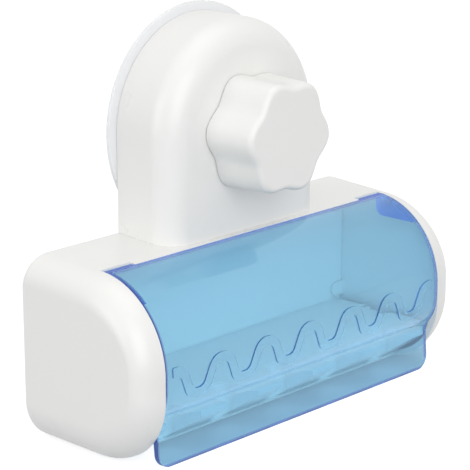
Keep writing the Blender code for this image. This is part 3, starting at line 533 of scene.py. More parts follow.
def paint_edge_shade_and_glow(material, shade, glow, scatter):
    """Paint shade on the clear sheet's cut faces, tabs and the rounds beside them, frost the cut faces, and
    paint a glow on them and a faint glow over the rest.
    """
    tree, shader = main_shader(material)
    place = node(tree, "ShaderNodeTexCoord").outputs
    spot = node(tree, "ShaderNodeSeparateXYZ", Vector=place["Object"]).outputs
    facing = node(tree, "ShaderNodeSeparateXYZ", Vector=place["Normal"]).outputs
    across = maths(tree, "ABSOLUTE", spot["X"])
    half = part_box("flip_cover")[1].x - COVER_PIN
    tab_start = half - COVER_TAB

    def joined(operation, masks):
        return reduce(lambda one, other: maths(tree, operation, one, other), masks)

    def where(*runs):
        """1 where each value has run from its start to its end."""
        return joined("MULTIPLY", [ramp(tree, *run) for run in runs])

    def fed(name):
        return shader.inputs[name].links[0].from_socket

    high_up = (spot["Z"], 57 * MM, 58 * MM)
    side = where((maths(tree, "ABSOLUTE", facing["X"]), 0.5, 0.8))
    lip = where((spot["Z"], 3.2 * MM, 2.4 * MM), (facing["Z"], -0.5, -0.8))
    top = where(high_up, (facing["Y"], 0.5, 0.8))
    tab = where((across, tab_start - 0.4 * MM, tab_start), (spot["Y"], -2.2 * MM, -1.6 * MM))
    cut_faces = joined("MAXIMUM", (side, tab, lip, top))
    crown = where(high_up, (spot["Y"], -2.7 * MM, -2.3 * MM))
    side_round = where((across, half - 0.65 * MM, half - 0.4 * MM))
    lip_round = where((spot["Z"], 0.95 * MM, 0.7 * MM))
    # Painted shade: the cut faces, tabs and the rounds along the sides, lip and top edge take the deeper
    # blue.
    painted_shade_mask = joined("MAXIMUM", (cut_faces, side_round, lip_round, crown))
    feed_named(
        tree, shader,
        Base_Color=blend(tree, painted_shade_mask, fed("Base Color"), shade),
        Roughness=maths(tree, "MULTIPLY_ADD", cut_faces, 0.5, fed("Roughness")),
        # Painted glow: the cut faces give out light, and the rest of the sheet a faint blue glow.
        Emission_Color=blend(tree, cut_faces, scatter, glow), Emission_Strength=1.0,
    )


def absorb(material, shade, density):
    """Let a clear piece take on its colour where it is thick."""
    tree = material.node_tree
    volume = node(tree, "ShaderNodeVolumeAbsorption", Color=(*shade, 1.0), Density=density)
    feed_named(tree, tree.nodes["Material Output"], Volume=volume.outputs[0])


class HOLDER_OT_finishes(bpy.types.Operator):
    """Make the plastics and metals that the pieces wear"""
    bl_idname = "holder.finishes"
    bl_label = "Finishes"

    def execute(self, context):
        shades = context.scene.holder_finishes
        finish("white_plastic", shades.white, 0.3, waviness=0.12, grain=0.04, wear=0.2, drift=0.015)
        blue = finish(
            "clear_blue_plastic", shades.blue, 0.05, waviness=0.08, grain=0.01, wear=0.1, drift=0.01,
            Transmission_Weight=1.0, IOR=1.49,
        )
        paint_edge_shade_and_glow(blue, shades.ends, shades.glow, shades.scatter)
        let_light_through(blue, tuple(part**0.05 for part in shades.blue))
        absorb(blue, shades.depth, shades.density)
        clear = finish(
            "clear_soft_plastic", shades.clear, 0.3, waviness=0.2, grain=0.03, wear=0.1,
            Transmission_Weight=0.4, IOR=1.45,
        )
        let_light_through(clear, shades.clear)
        finish("stud_plastic", shades.stud, 0.42)
        finish("washer_plastic", shades.washer, 0.5)
        finish("brass", shades.brass, 0.28, wear=0.6, drift=0.1, Metallic=1.0)
        finish("plated_steel", shades.steel, 0.3, wear=0.6, drift=0.08, Metallic=1.0)
        return {"FINISHED"}


# Rack housing

def belly():
    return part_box("rack_housing")[0].y


def top_at(rack, y, inset=0.0):
    """Height of the rack's sloping top at a depth, taken down by a wall."""
    start = rack.barrel_height + (rack.barrel_radius - inset) / math.cos(rack.top_slope)
    return start + (y - belly() - rack.barrel_radius) * math.tan(rack.top_slope)


def barrel_body(rack, inset, rear):
    """A solid barrel with rounded ends, taken in all round by inset, up to a rear plane."""
    low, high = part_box("rack_housing")
    straight = high.x - rack.end_round
    front = low.y + inset
    top = top_at(rack, rear, inset)
    body = block((-straight, front, inset), (straight, rear, top))
    upper = rack.barrel_height
    with editing(body):
        pick("VERT", lambda middle, _: near(middle.y, front) and middle.z > upper)
        shift(z=top_at(rack, front, inset) - top)
        pick("EDGE", lambda middle, edge: along(edge, "X") and near(middle.y, front) and middle.z > upper)
        round_off((rack.barrel_radius - inset) * math.tan((math.pi / 2 - rack.top_slope) / 2), 28)
        pick("EDGE", lambda middle, edge: along(edge, "X") and near(middle.y, front)
             and near(middle.z, inset))
        round_off(rack.chin_radius - inset, 22)
        if not inset:
            pick("EDGE", lambda middle, edge: along(edge, "X") and near(middle.y, rear))
            round_off(rack.rear_round, 4)
        for side in (-1, 1):
            round_end(rack, inset, side, straight, (front, rear), top)
    return body


def round_end(rack, inset, side, straight, depths, top):
    """Pull one end out along a quarter round, drawing its front, top and base in as it goes."""
    front, rear = depths
    taken_top = rack.end_top - inset
    taken_base = rack.end_base - inset
    height = top - inset
    still = inset + height * taken_base / (taken_top + taken_base)
    pick("FACE", lambda middle, face: abs(face.normal.x) > 0.9 and middle.x * side > 0)
    steps = 10
    was = (0.0, 1.0, 1.0)
    for step in range(1, steps + 1):
        turn = math.pi / 2 * step / steps
        out = (rack.end_round - inset) * math.sin(turn)
        taken = 1 - math.cos(turn)
        deep = 1 - (rack.end_front - inset) * taken / (rear - front)
        tall = 1 - (taken_top + taken_base) * taken / height
        pull(x=side * (out - was[0]))
        resize(1.0, deep / was[1], tall / was[2], (side * (straight + out), rear, still))
        was = (out, deep, tall)


def hinge_plate(near_x, far_x, radius, rack):
    """A D-shaped plate round the hinge, under a barrel of the given radius."""
    hinge = joint_place("cover_hinge")
    low, back = hinge.z - 4.4 * MM, hinge.y + 4.3 * MM
    before, above = -25 * MM, 62 * MM  # both past the barrel, which trims the plate
    plate = block((near_x, before, low), (far_x, back, above))
    centre = (belly() + rack.barrel_radius, rack.barrel_height)
    merge(plate, rod(radius, near_x - MM, far_x + MM, "X", centre, 192), "INTERSECT")
    with editing(plate):
        pick("EDGE", lambda middle, edge: along(edge, "X") and near(middle.y, back) and near(middle.z, low))
        round_off(3 * MM, 6)
    return plate


def open_front(shell, rack):
    """Cut the mouth that the cover closes, with its slanted sill and the room for the hinge."""
    hinge = joint_place("cover_hinge")
    pivot = (hinge.y, hinge.z)
    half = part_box("flip_cover")[1].x - 1.6 * MM
    lug_wall, pin_bore, ear_room = 2.2 * MM, 1.9 * MM, 4.37 * MM
    sill, below, slant = 3.5 * MM, 0.5 * MM, -1.348
    cut(shell, block((-half, -FAR / 2, 3 * MM), (half, hinge.y + 3.3 * MM, FAR)))
    wedge = block((-half, -FAR / 2, -below), (half, SILL_FRONT + slant * below, sill))
    with editing(wedge):
        pick("VERT", lambda middle, _: middle.y > -FAR / 4 and near(middle.z, sill))
        shift(y=slant * (sill + below))
    cut(shell, wedge, rod(ear_room, -half, half, "X", pivot, 96))
    for side in (-1, 1):
        near_x, far_x = stretch(side, half - COVER_TAB - GAP, half)
        cut(shell, block((near_x, hinge.y, hinge.z - 5.6 * MM), (far_x, hinge.y + 5.9 * MM, FAR)))
        near_x, far_x = stretch(side, half, half + lug_wall)
        lug = hinge_plate(near_x, far_x, rack.barrel_radius - rack.wall, rack)
        cut(lug, rod(pin_bore, near_x - MM, far_x + MM, "X", pivot, 32))
        add(shell, lug)


class HOLDER_OT_rack(bpy.types.Operator):
    """Model the rack's shell with its rounded ends, mouth, hinge lugs and screw bosses"""
    bl_idname = "holder.rack"
    bl_label = "Rack housing"

    def execute(self, context):
        rack = context.scene.holder_rack
        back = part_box("rack_housing")[1].y
        shell = barrel_body(rack, 0.0, back)
        cut(shell, barrel_body(rack, rack.wall, back + 4 * MM))
        open_front(shell, rack)
        plate_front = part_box("back_plate")[0].y
        front, rear = plate_front - MM, plate_front - GAP
        radius, bore, end_wall = 2.7 * MM, 1.6 * MM, 75.6 * MM
        for middle in map(middle_of, BACK_SCREWS):
            near_x, far_x = sorted((middle.x, math.copysign(end_wall, middle.x)))
            boss = rod(radius, front, rear, "Y", (middle.x, middle.z), 40)
            add(boss, block((near_x, front, middle.z - radius), (far_x, rear, middle.z + radius)))
            add(shell, boss)
            cut(shell, rod(bore, plate_front - 0.6 * MM, back, "Y", (middle.x, middle.z), 32))
        for name in MOUNT_SCREWS:
            middle = middle_of(name)
            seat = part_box(name)[0].z + 2.5 * MM
            head_room, shank_room = 4.3 * MM, 2.0 * MM
            cut(shell, rod(head_room, seat - 2.2 * MM, seat, "Z", (middle.x, middle.y), 40))
            cut(shell, rod(shank_room, seat - LAP, seat + 4.4 * MM, "Z", (middle.x, middle.y), 32))
        cut(shell, disc(CUP_ROOM, 25.35 * MM, FAR / 2, 192))
        soften(shell, rack.edge)
        with editing(shell):
            pick_all()
            bpy.ops.mesh.dissolve_degenerate(threshold=0.002 * MM)
        deliver(shell, "rack_shell", "white_plastic", "holder", "rack_housing")
        return {"FINISHED"}


# Brush rack

class HOLDER_OT_brush_rack(bpy.types.Operator):
    """Model the slotted insert that holds the brushes"""
    bl_idname = "holder.brush_rack"
    bl_label = "Brush rack"

    def execute(self, context):
        sizes = context.scene.holder_tray
        low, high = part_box("brush_rack")
        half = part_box("flip_cover")[1].x - COVER_PIN
        tip, rear, top = low.y, high.y, high.z
        under = top - sizes.wall
        base = tip + (SILL_FRONT - tip) * (1 - low.z / under)
        tray = block((-half, base, low.z), (half, rear, top))
        with editing(tray):
            pick("FACE", lambda middle, face: face.normal.y < -0.9)
            pull(y=tip - base)
            pick("VERT", lambda middle, _: near(middle.y, tip) and near(middle.z, low.z))
            shift(z=under - low.z)
        for side in (-1, 1):
            near_x, far_x = stretch(side, half - sizes.wall, high.x)
            ledge_front = -19.06 * MM
            add(tray, block((near_x, ledge_front, under), (far_x, rear, top)))
        pitch = half * 2 / sizes.bays
        seat = sizes.seat / 2
        seat_y = tip + sizes.slot_depth - seat
        core = pitch / 2 - sizes.wall / 2
        tip_room = 0.6 * MM
        wide = (sizes.mouth / 2 + tip_room) / seat
        below, above = -5 * MM, 25 * MM
        for bay in range(sizes.bays):
            x = (bay - (sizes.bays - 1) / 2) * pitch
            flare = block((x - seat, tip, below), (x + seat, seat_y, above))
            with editing(flare):
                pick("VERT", lambda middle, _: near(middle.y, tip))
                resize(wide, 1.0, 1.0, (x, tip, 0.0))
                pick("FACE", lambda middle, face: face.normal.y < -0.9)
                pull(y=-MM)
            cut(tray, flare, rod(seat, below, above, "Z", (x, seat_y), 48))
            cut(tray, block(
                (x - core, tip + sizes.slot_depth + sizes.wall, below), (x + core, rear - sizes.wall, under)
            ))
        with editing(tray):
            pick("EDGE", lambda middle, edge: along(edge, "Z") and near(middle.y, tip)
                 and abs(middle.x) < half - MM)
            round_off(sizes.tip_round, 5)
        soften(tray, sizes.edge, 38.0)
        deliver(tray, "brush_tray", "white_plastic", "holder", "brush_rack")
        return {"FINISHED"}


# Back plate and screws

def threaded_rod(radius, pitch, low, high):
    """A closed rod with a cut thread along Z, starting and ending square."""
    depth = pitch * 0.45
    tooth = begin("plane", size=1.0)
    with editing(tooth):
        keep_corner(radius - depth, 0.0, low - pitch * 1.03)
        for out, up in ((depth, 0.4), (0.0, 0.15), (-depth, 0.35), (0.0, 0.1)):
            pull(x=out, z=pitch * up)
    modify(
        tooth, "SCREW", axis="Z", angle=math.tau, screw_offset=pitch,
        iterations=math.ceil((high - low) / pitch) + 2, steps=28, render_steps=28,
        use_merge_vertices=True, merge_threshold=0.001 * MM,
    )
    with editing(tooth):
        for height, way in ((low, -1.0), (high, 1.0)):
            trim((0.0, 0.0, height), (0.0, 0.0, way), False)
        pick_all()
        bpy.ops.mesh.remove_doubles(threshold=0.001 * MM)
        bpy.ops.mesh.fill_holes(sides=0)
        face_outward()
    return tooth


def cross_screw(head_radius, head_height, shank_radius, shank_length, pitch):
    """A round-headed cross screw that points up, its head's underside at z = 0."""
    screw = rod(head_radius, -head_height, 0.0, "Z", (0.0, 0.0), 48)
    with editing(screw):
        pick("EDGE", lambda middle, edge: all(near(v.co.z, -head_height) for v in edge.verts))
        round_off(head_height * 0.45, 4)
    long, narrow = head_radius * 0.62, head_radius * 0.12
    arms = [
        block((-wide, -deep, -head_height * 1.2), (wide, deep, -head_height * 0.35))
        for wide, deep in ((long, narrow), (narrow, long))
    ]
    for arm in arms:
        with editing(arm):
            pick("FACE", lambda middle, face: face.normal.z > 0.9)
            resize(0.55, 0.55, 1.0)
    add(*arms)
    cut(screw, arms[0])
    shank = threaded_rod(shank_radius, pitch, -head_height * 0.2, shank_length)
    with editing(shank):
        pick("VERT", lambda middle, _: middle.z > shank_length - pitch * 0.2)
        resize(0.7, 0.7, 1.0)
    add(screw, shank)
    return screw


def drive_screw(screw, name, place, turn):
    """Copy a screw to its place, turn it and finish it."""
    activate(screw)
    bpy.ops.object.duplicate(linked=False)
    one = bpy.context.object
    one.location = place
    one.rotation_euler = turn
    settle(one)
    deliver(one, name + "_cross", "plated_steel", "holder", name, smooth=35.0)


class HOLDER_OT_back(bpy.types.Operator):
    """Model the back plate and its four screws"""
    bl_idname = "holder.back"
    bl_label = "Back plate and screws"

    def execute(self, context):
        rack = context.scene.holder_rack
        low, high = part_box("back_plate")
        half, tall = 80 * MM, 70 * MM  # both past the rack's shape, which trims the plate
        plate = block((-half, low.y, 0.0), (half, high.y, tall))
        merge(plate, barrel_body(rack, rack.wall + GAP, high.y + 4 * MM), "INTERSECT")
        cut(plate, disc(CUP_ROOM, low.y - MM, high.y + MM, 192))
        head = 1.1 * MM
        screw = cross_screw(2.5 * MM, head, 1.3 * MM, 1.6 * MM, 0.9 * MM)
        for name in BACK_SCREWS:
            middle = middle_of(name)
            head_room, shank_room = 2.8 * MM, 1.6 * MM
            cut(plate, rod(head_room, high.y - 1.5 * MM, high.y + MM, "Y", (middle.x, middle.z), 40))
            cut(plate, rod(shank_room, low.y - MM, high.y, "Y", (middle.x, middle.z), 32))
            turn = math.radians(37.0 * (middle.x + middle.z) / MM)
            seat = (middle.x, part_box(name)[1].y - head, middle.z)
            drive_screw(screw, name, seat, (math.pi / 2, turn, 0.0))
        bpy.data.objects.remove(screw, do_unlink=True)
        soften(plate, 0.3 * MM)
        deliver(plate, "back_panel", "white_plastic", "holder", "back_plate")
        return {"FINISHED"}


# Flip cover

def barrel_points(sizes, rack):
    """The cover's outer face as (y, z) points from its top edge down to its lip."""
    front, height = belly(), rack.barrel_height
    level, tucked = math.pi / 2, math.pi / 2 + sizes.tuck_angle

    def on_arc(centre, radius, heading):
        return (centre[0] - radius * math.sin(heading), centre[1] + radius * math.cos(heading))

    def arc(centre, radius, start, end, steps):
        return [on_arc(centre, radius, start + (end - start) * i / steps) for i in range(steps + 1)]

    points = arc((front + rack.barrel_radius, height), rack.barrel_radius, sizes.top_angle, level, 24)
    tuck = (front + sizes.tuck_radius, height - sizes.straight)
    points += arc(tuck, sizes.tuck_radius, level, tucked, 10)
    throat = on_arc(points[-1], sizes.throat_radius, tucked)
    points += arc(throat, -sizes.throat_radius, tucked, level - sizes.lip_flare, 9)[1:]
    y, z = points[-1]
    points.append((y - (z - sizes.lip_clearance) * math.tan(sizes.lip_flare), sizes.lip_clearance))
    return points


def model_sheet(points, half, sizes):
    """Pull the top edge along the profile and round the lip's corners."""
    (y0, z0), (y1, z1) = points[:2]
    sheet = begin("plane", size=1.0)
    with editing(sheet):
        pick("VERT", lambda middle, _: middle.y > 0)
        shift(y=y0 - 0.5, z=z0)
        pick("VERT", lambda middle, _: middle.y < 0 and middle.z == 0)
        shift(y=y1 + 0.5, z=z1)
        pick_all()
        resize(half * 2, 1.0, 1.0)
        pick("EDGE", lambda middle, edge: along(edge, "X") and near(middle.z, z1))
        for (ya, za), (yb, zb) in zip(points[1:], points[2:]):
            pull(y=yb - ya, z=zb - za)
        pick("VERT", lambda middle, _: near(middle.z, sizes.lip_clearance))
        round_off(sizes.lip_corner, 8, "VERTICES")
        pick_all()
        face_outward()
    return sheet


def wave_band(sizes, front):
    """One raised line that rises, rolls over the crest and drops into the trough."""
    fall = sizes.pitch - sizes.rise - sizes.crest_flat - sizes.trough_flat
    drop = sizes.crest_height - sizes.trough_height
    reach = sizes.crest_radius + sizes.trough_radius

    def slope(run):
        """Angle and length of the straight part between two bends whose centres are a run apart."""
        apart = math.hypot(run, drop)
        return math.asin(reach / apart) + math.atan2(drop, run), math.sqrt(apart**2 - reach**2)

    climb, rising = slope(sizes.rise)
    descent, falling = slope(fall)
    crest = -1.3 * MM
    crest_end = crest + sizes.crest_flat
    start = crest - sizes.rise
    band = begin("plane", size=1.0)
    with editing(band):
        bpy.ops.mesh.delete(type="ONLY_FACE")
        pick("VERT", lambda middle, _: middle.x > 0)
        bpy.ops.mesh.delete(type="VERT")
        pick_all()
        bpy.ops.mesh.subdivide(number_cuts=3)
        pick_all()
        rotate(math.pi / 2, "X")
        resize(1.0, 1.0, sizes.half_width * 2)
        shift(x=0.5 + start, y=front, z=sizes.trough_height - sizes.trough_radius)

        def spin(swing, x, z):
            bpy.ops.mesh.spin(steps=10, angle=swing, center=(x, front, z), axis=(0.0, 1.0, 0.0))

        spin(climb, start, sizes.trough_height)
        pull(x=rising * math.cos(climb), z=rising * math.sin(climb))
        spin(-climb, crest, sizes.crest_height)
        pull(x=sizes.crest_flat)
        spin(-descent, crest_end, sizes.crest_height)
        pull(x=falling * math.cos(descent), z=-falling * math.sin(descent))
        spin(descent, crest_end + fall, sizes.trough_height)
        pull(x=sizes.trough_flat)
    return band


def model_wave(sizes, cover, front):
    """Lay a row of waves on the cover's belly and trim both ends."""
    band = wave_band(sizes, front)
    waves = 8
    modify(
        band, "ARRAY", count=waves, use_relative_offset=False, use_constant_offset=True,
        constant_offset_displace=(sizes.pitch, 0.0, 0.0), use_merge_vertices=True, merge_threshold=0.01 * MM,
    )
    with editing(band):
        pick_all()
        shift(x=-waves / 2 * sizes.pitch)
        trim((-sizes.left_end, 0.0, 0.0), (-1.0, 0.0, 0.0), False)
        trim((sizes.right_end, 0.0, 0.0), (1.0, 0.0, 0.0), False)
        pick("VERT", lambda middle, corner: len(corner.link_edges) == 2 and (
            near(middle.x, -sizes.left_end) or near(middle.x, sizes.right_end)))
        round_off(0.9 * MM, 4, "VERTICES")
    modify(
        band, "SHRINKWRAP", target=cover, wrap_method="PROJECT", use_project_y=True,
        use_negative_direction=False, use_positive_direction=True,
    )
    return band


class HOLDER_OT_cover(bpy.types.Operator):
    """Model the clear flip cover with its ears, pins and raised wave"""
    bl_idname = "holder.cover"
    bl_label = "Flip cover"

    def execute(self, context):
        sizes = context.scene.holder_cover
        rack = context.scene.holder_rack
        waves = context.scene.holder_wave
        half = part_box("flip_cover")[1].x - COVER_PIN
        front = belly()
        cover = model_sheet(barrel_points(sizes, rack), half, sizes)
        band = model_wave(waves, cover, front - 5 * MM)
        thicken(cover, sizes.wall, -1.0)
        hinge = joint_place("cover_hinge")
        edge_y = front + rack.barrel_radius * (1 - math.sin(sizes.top_angle))
        tab_top = rack.barrel_height + rack.barrel_radius * math.cos(sizes.top_angle)
        inset = 0.03 * MM
        for side in (-1, 1):
            near_x, far_x = stretch(side, half - sizes.ear_thickness, half - inset)
            add(cover, hinge_plate(near_x, far_x, rack.barrel_radius - sizes.wall / 2, rack))
            near_x, far_x = stretch(side, half - sizes.ear_thickness / 2, half + COVER_PIN)
            add(cover, rod(1.6 * MM, near_x, far_x, "X", (hinge.y, hinge.z), 32))
            near_x, far_x = stretch(side, half - COVER_TAB, half - inset)
            add(cover, block((near_x, edge_y - LAP, tab_top - sizes.wall + 0.1 * MM),
                             (far_x, 0.15 * MM, tab_top - inset)))
        soften(cover, sizes.edge, 55.0)
        thicken(band, waves.height + 0.4 * MM, 0.0)
        tidy_mesh(band)
        soften(band, 0.2 * MM, 60.0)
        add(cover, band)
        deliver(cover, "clear_cover", "clear_blue_plastic", "cover", "flip_cover")
        return {"FINISHED"}


# Mount housing

def mount_arch(mount, inset, bottom, back):
    """A round-topped block about the cup's axis with its front edge rounded over."""
    low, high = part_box("mount_housing")
    axis = cup_axis()
    front = low.y + inset
    arch = disc(high.x - inset, front, back, 160)
    with editing(arch):
        trim((0.0, 0.0, axis), (0.0, 0.0, -1.0))
        pick("FACE", lambda middle, face: face.normal.z < -0.9 and near(middle.z, axis))
        pull(z=bottom - axis)
        pick_all()
        bpy.ops.mesh.dissolve_limited(angle_limit=math.radians(0.1))
        pick("EDGE", lambda middle, edge: all(near(v.co.y, front) for v in edge.verts)
             and middle.z > bottom + MM)
        round_off(mount.front_round - inset, 12)
    return arch


class HOLDER_OT_mount(bpy.types.Operator):
    """Model the mount's shell with its rim ring, keyed guide, webs and screw bosses"""
    bl_idname = "holder.mount"
    bl_label = "Mount housing"

    def execute(self, context):
        mount = context.scene.holder_mount
        rack = context.scene.holder_rack
        low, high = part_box("mount_housing")
        axis = cup_axis()
        floor = top_at(rack, high.y)
        shell = mount_arch(mount, 0.0, floor - 13.8 * MM, high.y)
        cut(shell, mount_arch(mount, mount.wall, floor + 2.6 * MM, high.y + mount.wall))
        outer, ring_wall = high.x - mount.wall / 2, 2 * MM
        ring = disc(outer, high.y - 12.3 * MM, high.y - GAP, 160)
        cut(ring, disc(outer - ring_wall, high.y - 13 * MM, high.y + MM, 160))
        add(shell, ring)
        inside = low.y + mount.wall
        guide, key_round, key_flat, tall, shaft = 8.5 * MM, 5.8 * MM, 4.3 * MM, 9 * MM, 4.3 * MM
        add(shell, disc(guide, inside - LAP, inside + 12 * MM, 64))
        webs, half_web = 6, 0.8 * MM
        for web in range(webs):
            blade = block(
                (guide - 1.1 * MM, inside - LAP, axis - half_web),
                (high.x - mount.front_round / 2, inside + 9 * MM, axis + half_web),
            )
            with editing(blade):
                pick_all()
                rotate(math.tau * (web + 0.5) / webs, "Y", (0.0, 0.0, axis))
            add(shell, blade)
        for middle in map(middle_of, MOUNT_SCREWS):
            boss, bore = 4 * MM, 2 * MM
            add(shell, rod(boss, floor, floor + 11 * MM, "Z", (middle.x, middle.y), 40))
            cut(shell, rod(bore, floor - 14 * MM, floor + 9.8 * MM, "Z", (middle.x, middle.y), 32))
        key = disc(key_round, inside, inside + 24 * MM, 64)
        sides = block(
            (-key_flat, inside - MM, axis - tall), (key_flat, inside + 25 * MM, axis + tall)
        )
        merge(key, sides, "INTERSECT")
        cut(shell, key, disc(shaft, low.y - LAP, inside + LAP, 64))
        soften(shell, mount.edge)
        seat = top_at(rack, 0.0) + 0.03 * MM
        with editing(shell):
            trim((0.0, 0.0, seat), (0.0, math.sin(rack.top_slope), -math.cos(rack.top_slope)))
        deliver(shell, "mount_shell", "white_plastic", "holder", "mount_housing")
        return {"FINISHED"}


class HOLDER_OT_mount_screws(bpy.types.Operator):
    """Model the two screws that hold the mount on the rack"""
    bl_idname = "holder.mount_screws"
    bl_label = "Mount screws"

    def execute(self, context):
        head = 2.2 * MM
        screw = cross_screw(3.5 * MM, head, 1.7 * MM, 10.8 * MM, 1.2 * MM)
        for name in MOUNT_SCREWS:
            middle = middle_of(name)
            turn = math.radians(20.0 + middle.x * 900)
            drive_screw(screw, name, (middle.x, middle.y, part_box(name)[0].z + head), (0.0, 0.0, turn))
        bpy.data.objects.remove(screw, do_unlink=True)
        return {"FINISHED"}


# Suction cup, stud and the knob's pieces

def spun(outline, steps):
    """Pull one point along (radius, depth) points and spin the line about the cup's axis."""
    axis = cup_axis()
    piece = begin("plane", size=1.0)
    with editing(piece):
        keep_corner(*outline[0], axis)
        for (r0, y0), (r1, y1) in zip(outline, outline[1:]):
            pull(x=r1 - r0, y=y1 - y0)
        pick_all()
        bpy.ops.mesh.spin(steps=steps, angle=math.tau, center=(0.0, 0.0, axis), axis=(0.0, 1.0, 0.0))
    tidy_mesh(piece, 0.004 * MM)
    return piece


class HOLDER_OT_cup(bpy.types.Operator):
    """Model the clear suction cup, moulded round the stud's flange"""
    bl_idname = "holder.cup"
    bl_label = "Suction cup"

    def execute(self, context):
        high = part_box("suction_cup")[1]
        radius, back = high.x, high.y
        rim, hub, skirt = 1.65 * MM, 13 * MM, 33.4 * MM
        neck, flange = 5.8 * MM, 10.3 * MM
        front, flange_front, flange_back = 17.5 * MM, 19.9 * MM, 22.5 * MM
        big, small = 0.8 * MM, 0.25 * MM
        outline = [
            (0.0, flange_back), (flange, flange_back), (flange, flange_front), (neck, flange_front),
            (neck, front), (hub - big, front), (hub - small, front + small), (hub, front + big),
            (hub + big, flange_back),
        ]
        steps = 12
        for step in range(1, steps + 1):
            share = step / steps
            outline.append((
                hub + big + (skirt - hub - big) * share,
                flange_back + (back - rim - flange_back) * math.sin(share * math.pi / 2),
            ))
        outline += [
            (radius - big, back - rim), (radius - small, back - rim + small), (radius, back - rim + big),
            (radius, back - small), (radius - small, back),
        ]
        land, hollow = radius - 2.2 * MM, 2.5 * MM
        steps = 14
        outline += [
            (land * (1 - step / steps), back - hollow * math.sin(math.pi / 2 * step / steps))
            for step in range(steps + 1)
        ]
        cup = spun(outline, 128)
        deliver(cup, "cup_disc", "clear_soft_plastic", "stud", "suction_cup")
        return {"FINISHED"}


def lay_along_depth(piece):
    """Turn a piece that was made along Z to run along Y through the cup's axis, its top to the user."""
    piece.rotation_euler = (math.pi / 2, 0.0, 0.0)
    piece.location = (0.0, 0.0, cup_axis())
    settle(piece)


class HOLDER_OT_stud(bpy.types.Operator):
    """Model the pull stud with its flange, flats and cut thread"""
    bl_idname = "holder.stud"
    bl_label = "Pull stud"

    def execute(self, context):
        low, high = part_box("pull_stud")
        axis = cup_axis()
        flange_front = high.y - 2 * MM
        key_front, key_round, key_flat, tall = 3.6 * MM, 5.5 * MM, 4 * MM, 9 * MM
        stud = disc(key_round, key_front, flange_front + LAP, 64)
        sides = block(
            (-key_flat, key_front - MM, axis - tall), (key_flat, flange_front + MM, axis + tall)
        )
        merge(stud, sides, "INTERSECT")
        flange = disc(10 * MM, flange_front, high.y, 96)
        with editing(flange):
            pick("EDGE", lambda middle, edge: not along(edge, "Y"))
            round_off(0.3 * MM, 2)
        add(stud, flange)
        thread = threaded_rod(4 * MM, THREAD_PITCH, -key_front - LAP, -low.y)
        with editing(thread):
            pick("VERT", lambda middle, _: middle.z > -low.y - 0.4 * MM)
            resize(0.82, 0.82, 1.0)
        lay_along_depth(thread)
        add(stud, thread)
        deliver(stud, "threaded_stud", "stud_plastic", "stud", "pull_stud")
        return {"FINISHED"}


def hexagon(radius, front, back):
    """A hexagonal bar about the cup's axis with a corner that points along X."""
    axis = cup_axis()
    bar = disc(radius, front, back, 6)
    places = [vertex.co for vertex in bar.data.vertices]
    with editing(bar):
        if max(place.x for place in places) < max(place.z for place in places) - axis:
            pick_all()
            rotate(math.pi / 6, "Y", (0.0, 0.0, axis))
    return bar


class HOLDER_OT_nut(bpy.types.Operator):
    """Model the brass nut and the slip ring behind it"""
    bl_idname = "holder.nut"
    bl_label = "Nut and slip ring"

    def execute(self, context):
        low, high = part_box("knob_nut")
        nut = hexagon(high.x, low.y, high.y)
        cone = disc(high.x, low.y, high.y, 96)
        with editing(cone):
            pick("EDGE", lambda middle, edge: not along(edge, "Y"))
            round_off(0.55 * MM, 1)
        merge(nut, cone, "INTERSECT")
        bore = threaded_rod(4.3 * MM, THREAD_PITCH, -high.y - 2 * MM, -low.y + 2 * MM)
        lay_along_depth(bore)
        cut(nut, bore)
        deliver(nut, "hex_nut", "brass", "knob", "knob_nut")
        low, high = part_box("thrust_washer")
        ring = disc(high.x, low.y, high.y, 96)
        cut(ring, disc(5 * MM, low.y - MM, high.y + MM, 64))
        soften(ring, 0.15 * MM)
        deliver(ring, "slip_ring", "washer_plastic", "holder", "thrust_washer")
        return {"FINISHED"}


# Knob

class HOLDER_OT_knob(bpy.types.Operator):
    """Model the six-lobed knob with its cored back"""
    bl_idname = "holder.knob"
    bl_label = "Knob"

    def execute(self, context):
        sizes = context.scene.holder_knob
        low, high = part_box("knob")
        axis = cup_axis()
        centre = (0.0, 0.0, axis)
        facets = 120
        share = facets // sizes.lobes
        knob = disc(sizes.lobe_radius, low.y, high.y, facets)
        with editing(knob):
            def place(middle):
                heading = math.atan2(middle.z - axis, middle.x) - sizes.lobe_turn
                return round(heading / (math.tau / facets)) % share

            pick_all()
            rotate(-sizes.lobe_turn, "Y", centre)
            for step in range(share):
                swell = (1 + math.cos(math.tau * step / share)) / 2
                out = (sizes.lobe_radius - sizes.valley_radius) * swell**sizes.sharpness
                ratio = (sizes.valley_radius + out) / sizes.lobe_radius
                pick("VERT", lambda middle, _: place(middle) == step)
                resize(ratio, 1.0, ratio, centre)
            pick("FACE", lambda middle, face: face.normal.y > 0.9)
            wider = 1 + sizes.draft / sizes.lobe_radius
            resize(wider, 1.0, wider, centre)
            pick("EDGE", lambda middle, edge: all(near(v.co.y, low.y) for v in edge.verts))
            round_off(sizes.edge, 6)
        rear = high.y
        skirt, hub, bore = 14.2 * MM, 9.8 * MM, 4.6 * MM
        groove = disc(skirt, rear - 12 * MM, rear + MM, 96)
        cut(groove, disc(hub, rear - 13 * MM, rear - 1.3 * MM, 72))
        cut(knob, groove, disc(bore, rear - 16 * MM, rear + MM, 48))
        half_nut, nut_front = 6.8 * MM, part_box("knob_nut")[0].y
        cut(knob, hexagon(half_nut / math.cos(math.pi / 6), nut_front - GAP, rear + MM))
        deliver(knob, "lobed_knob", "white_plastic", "knob", "knob", smooth=40.0)
        return {"FINISHED"}


# Stage

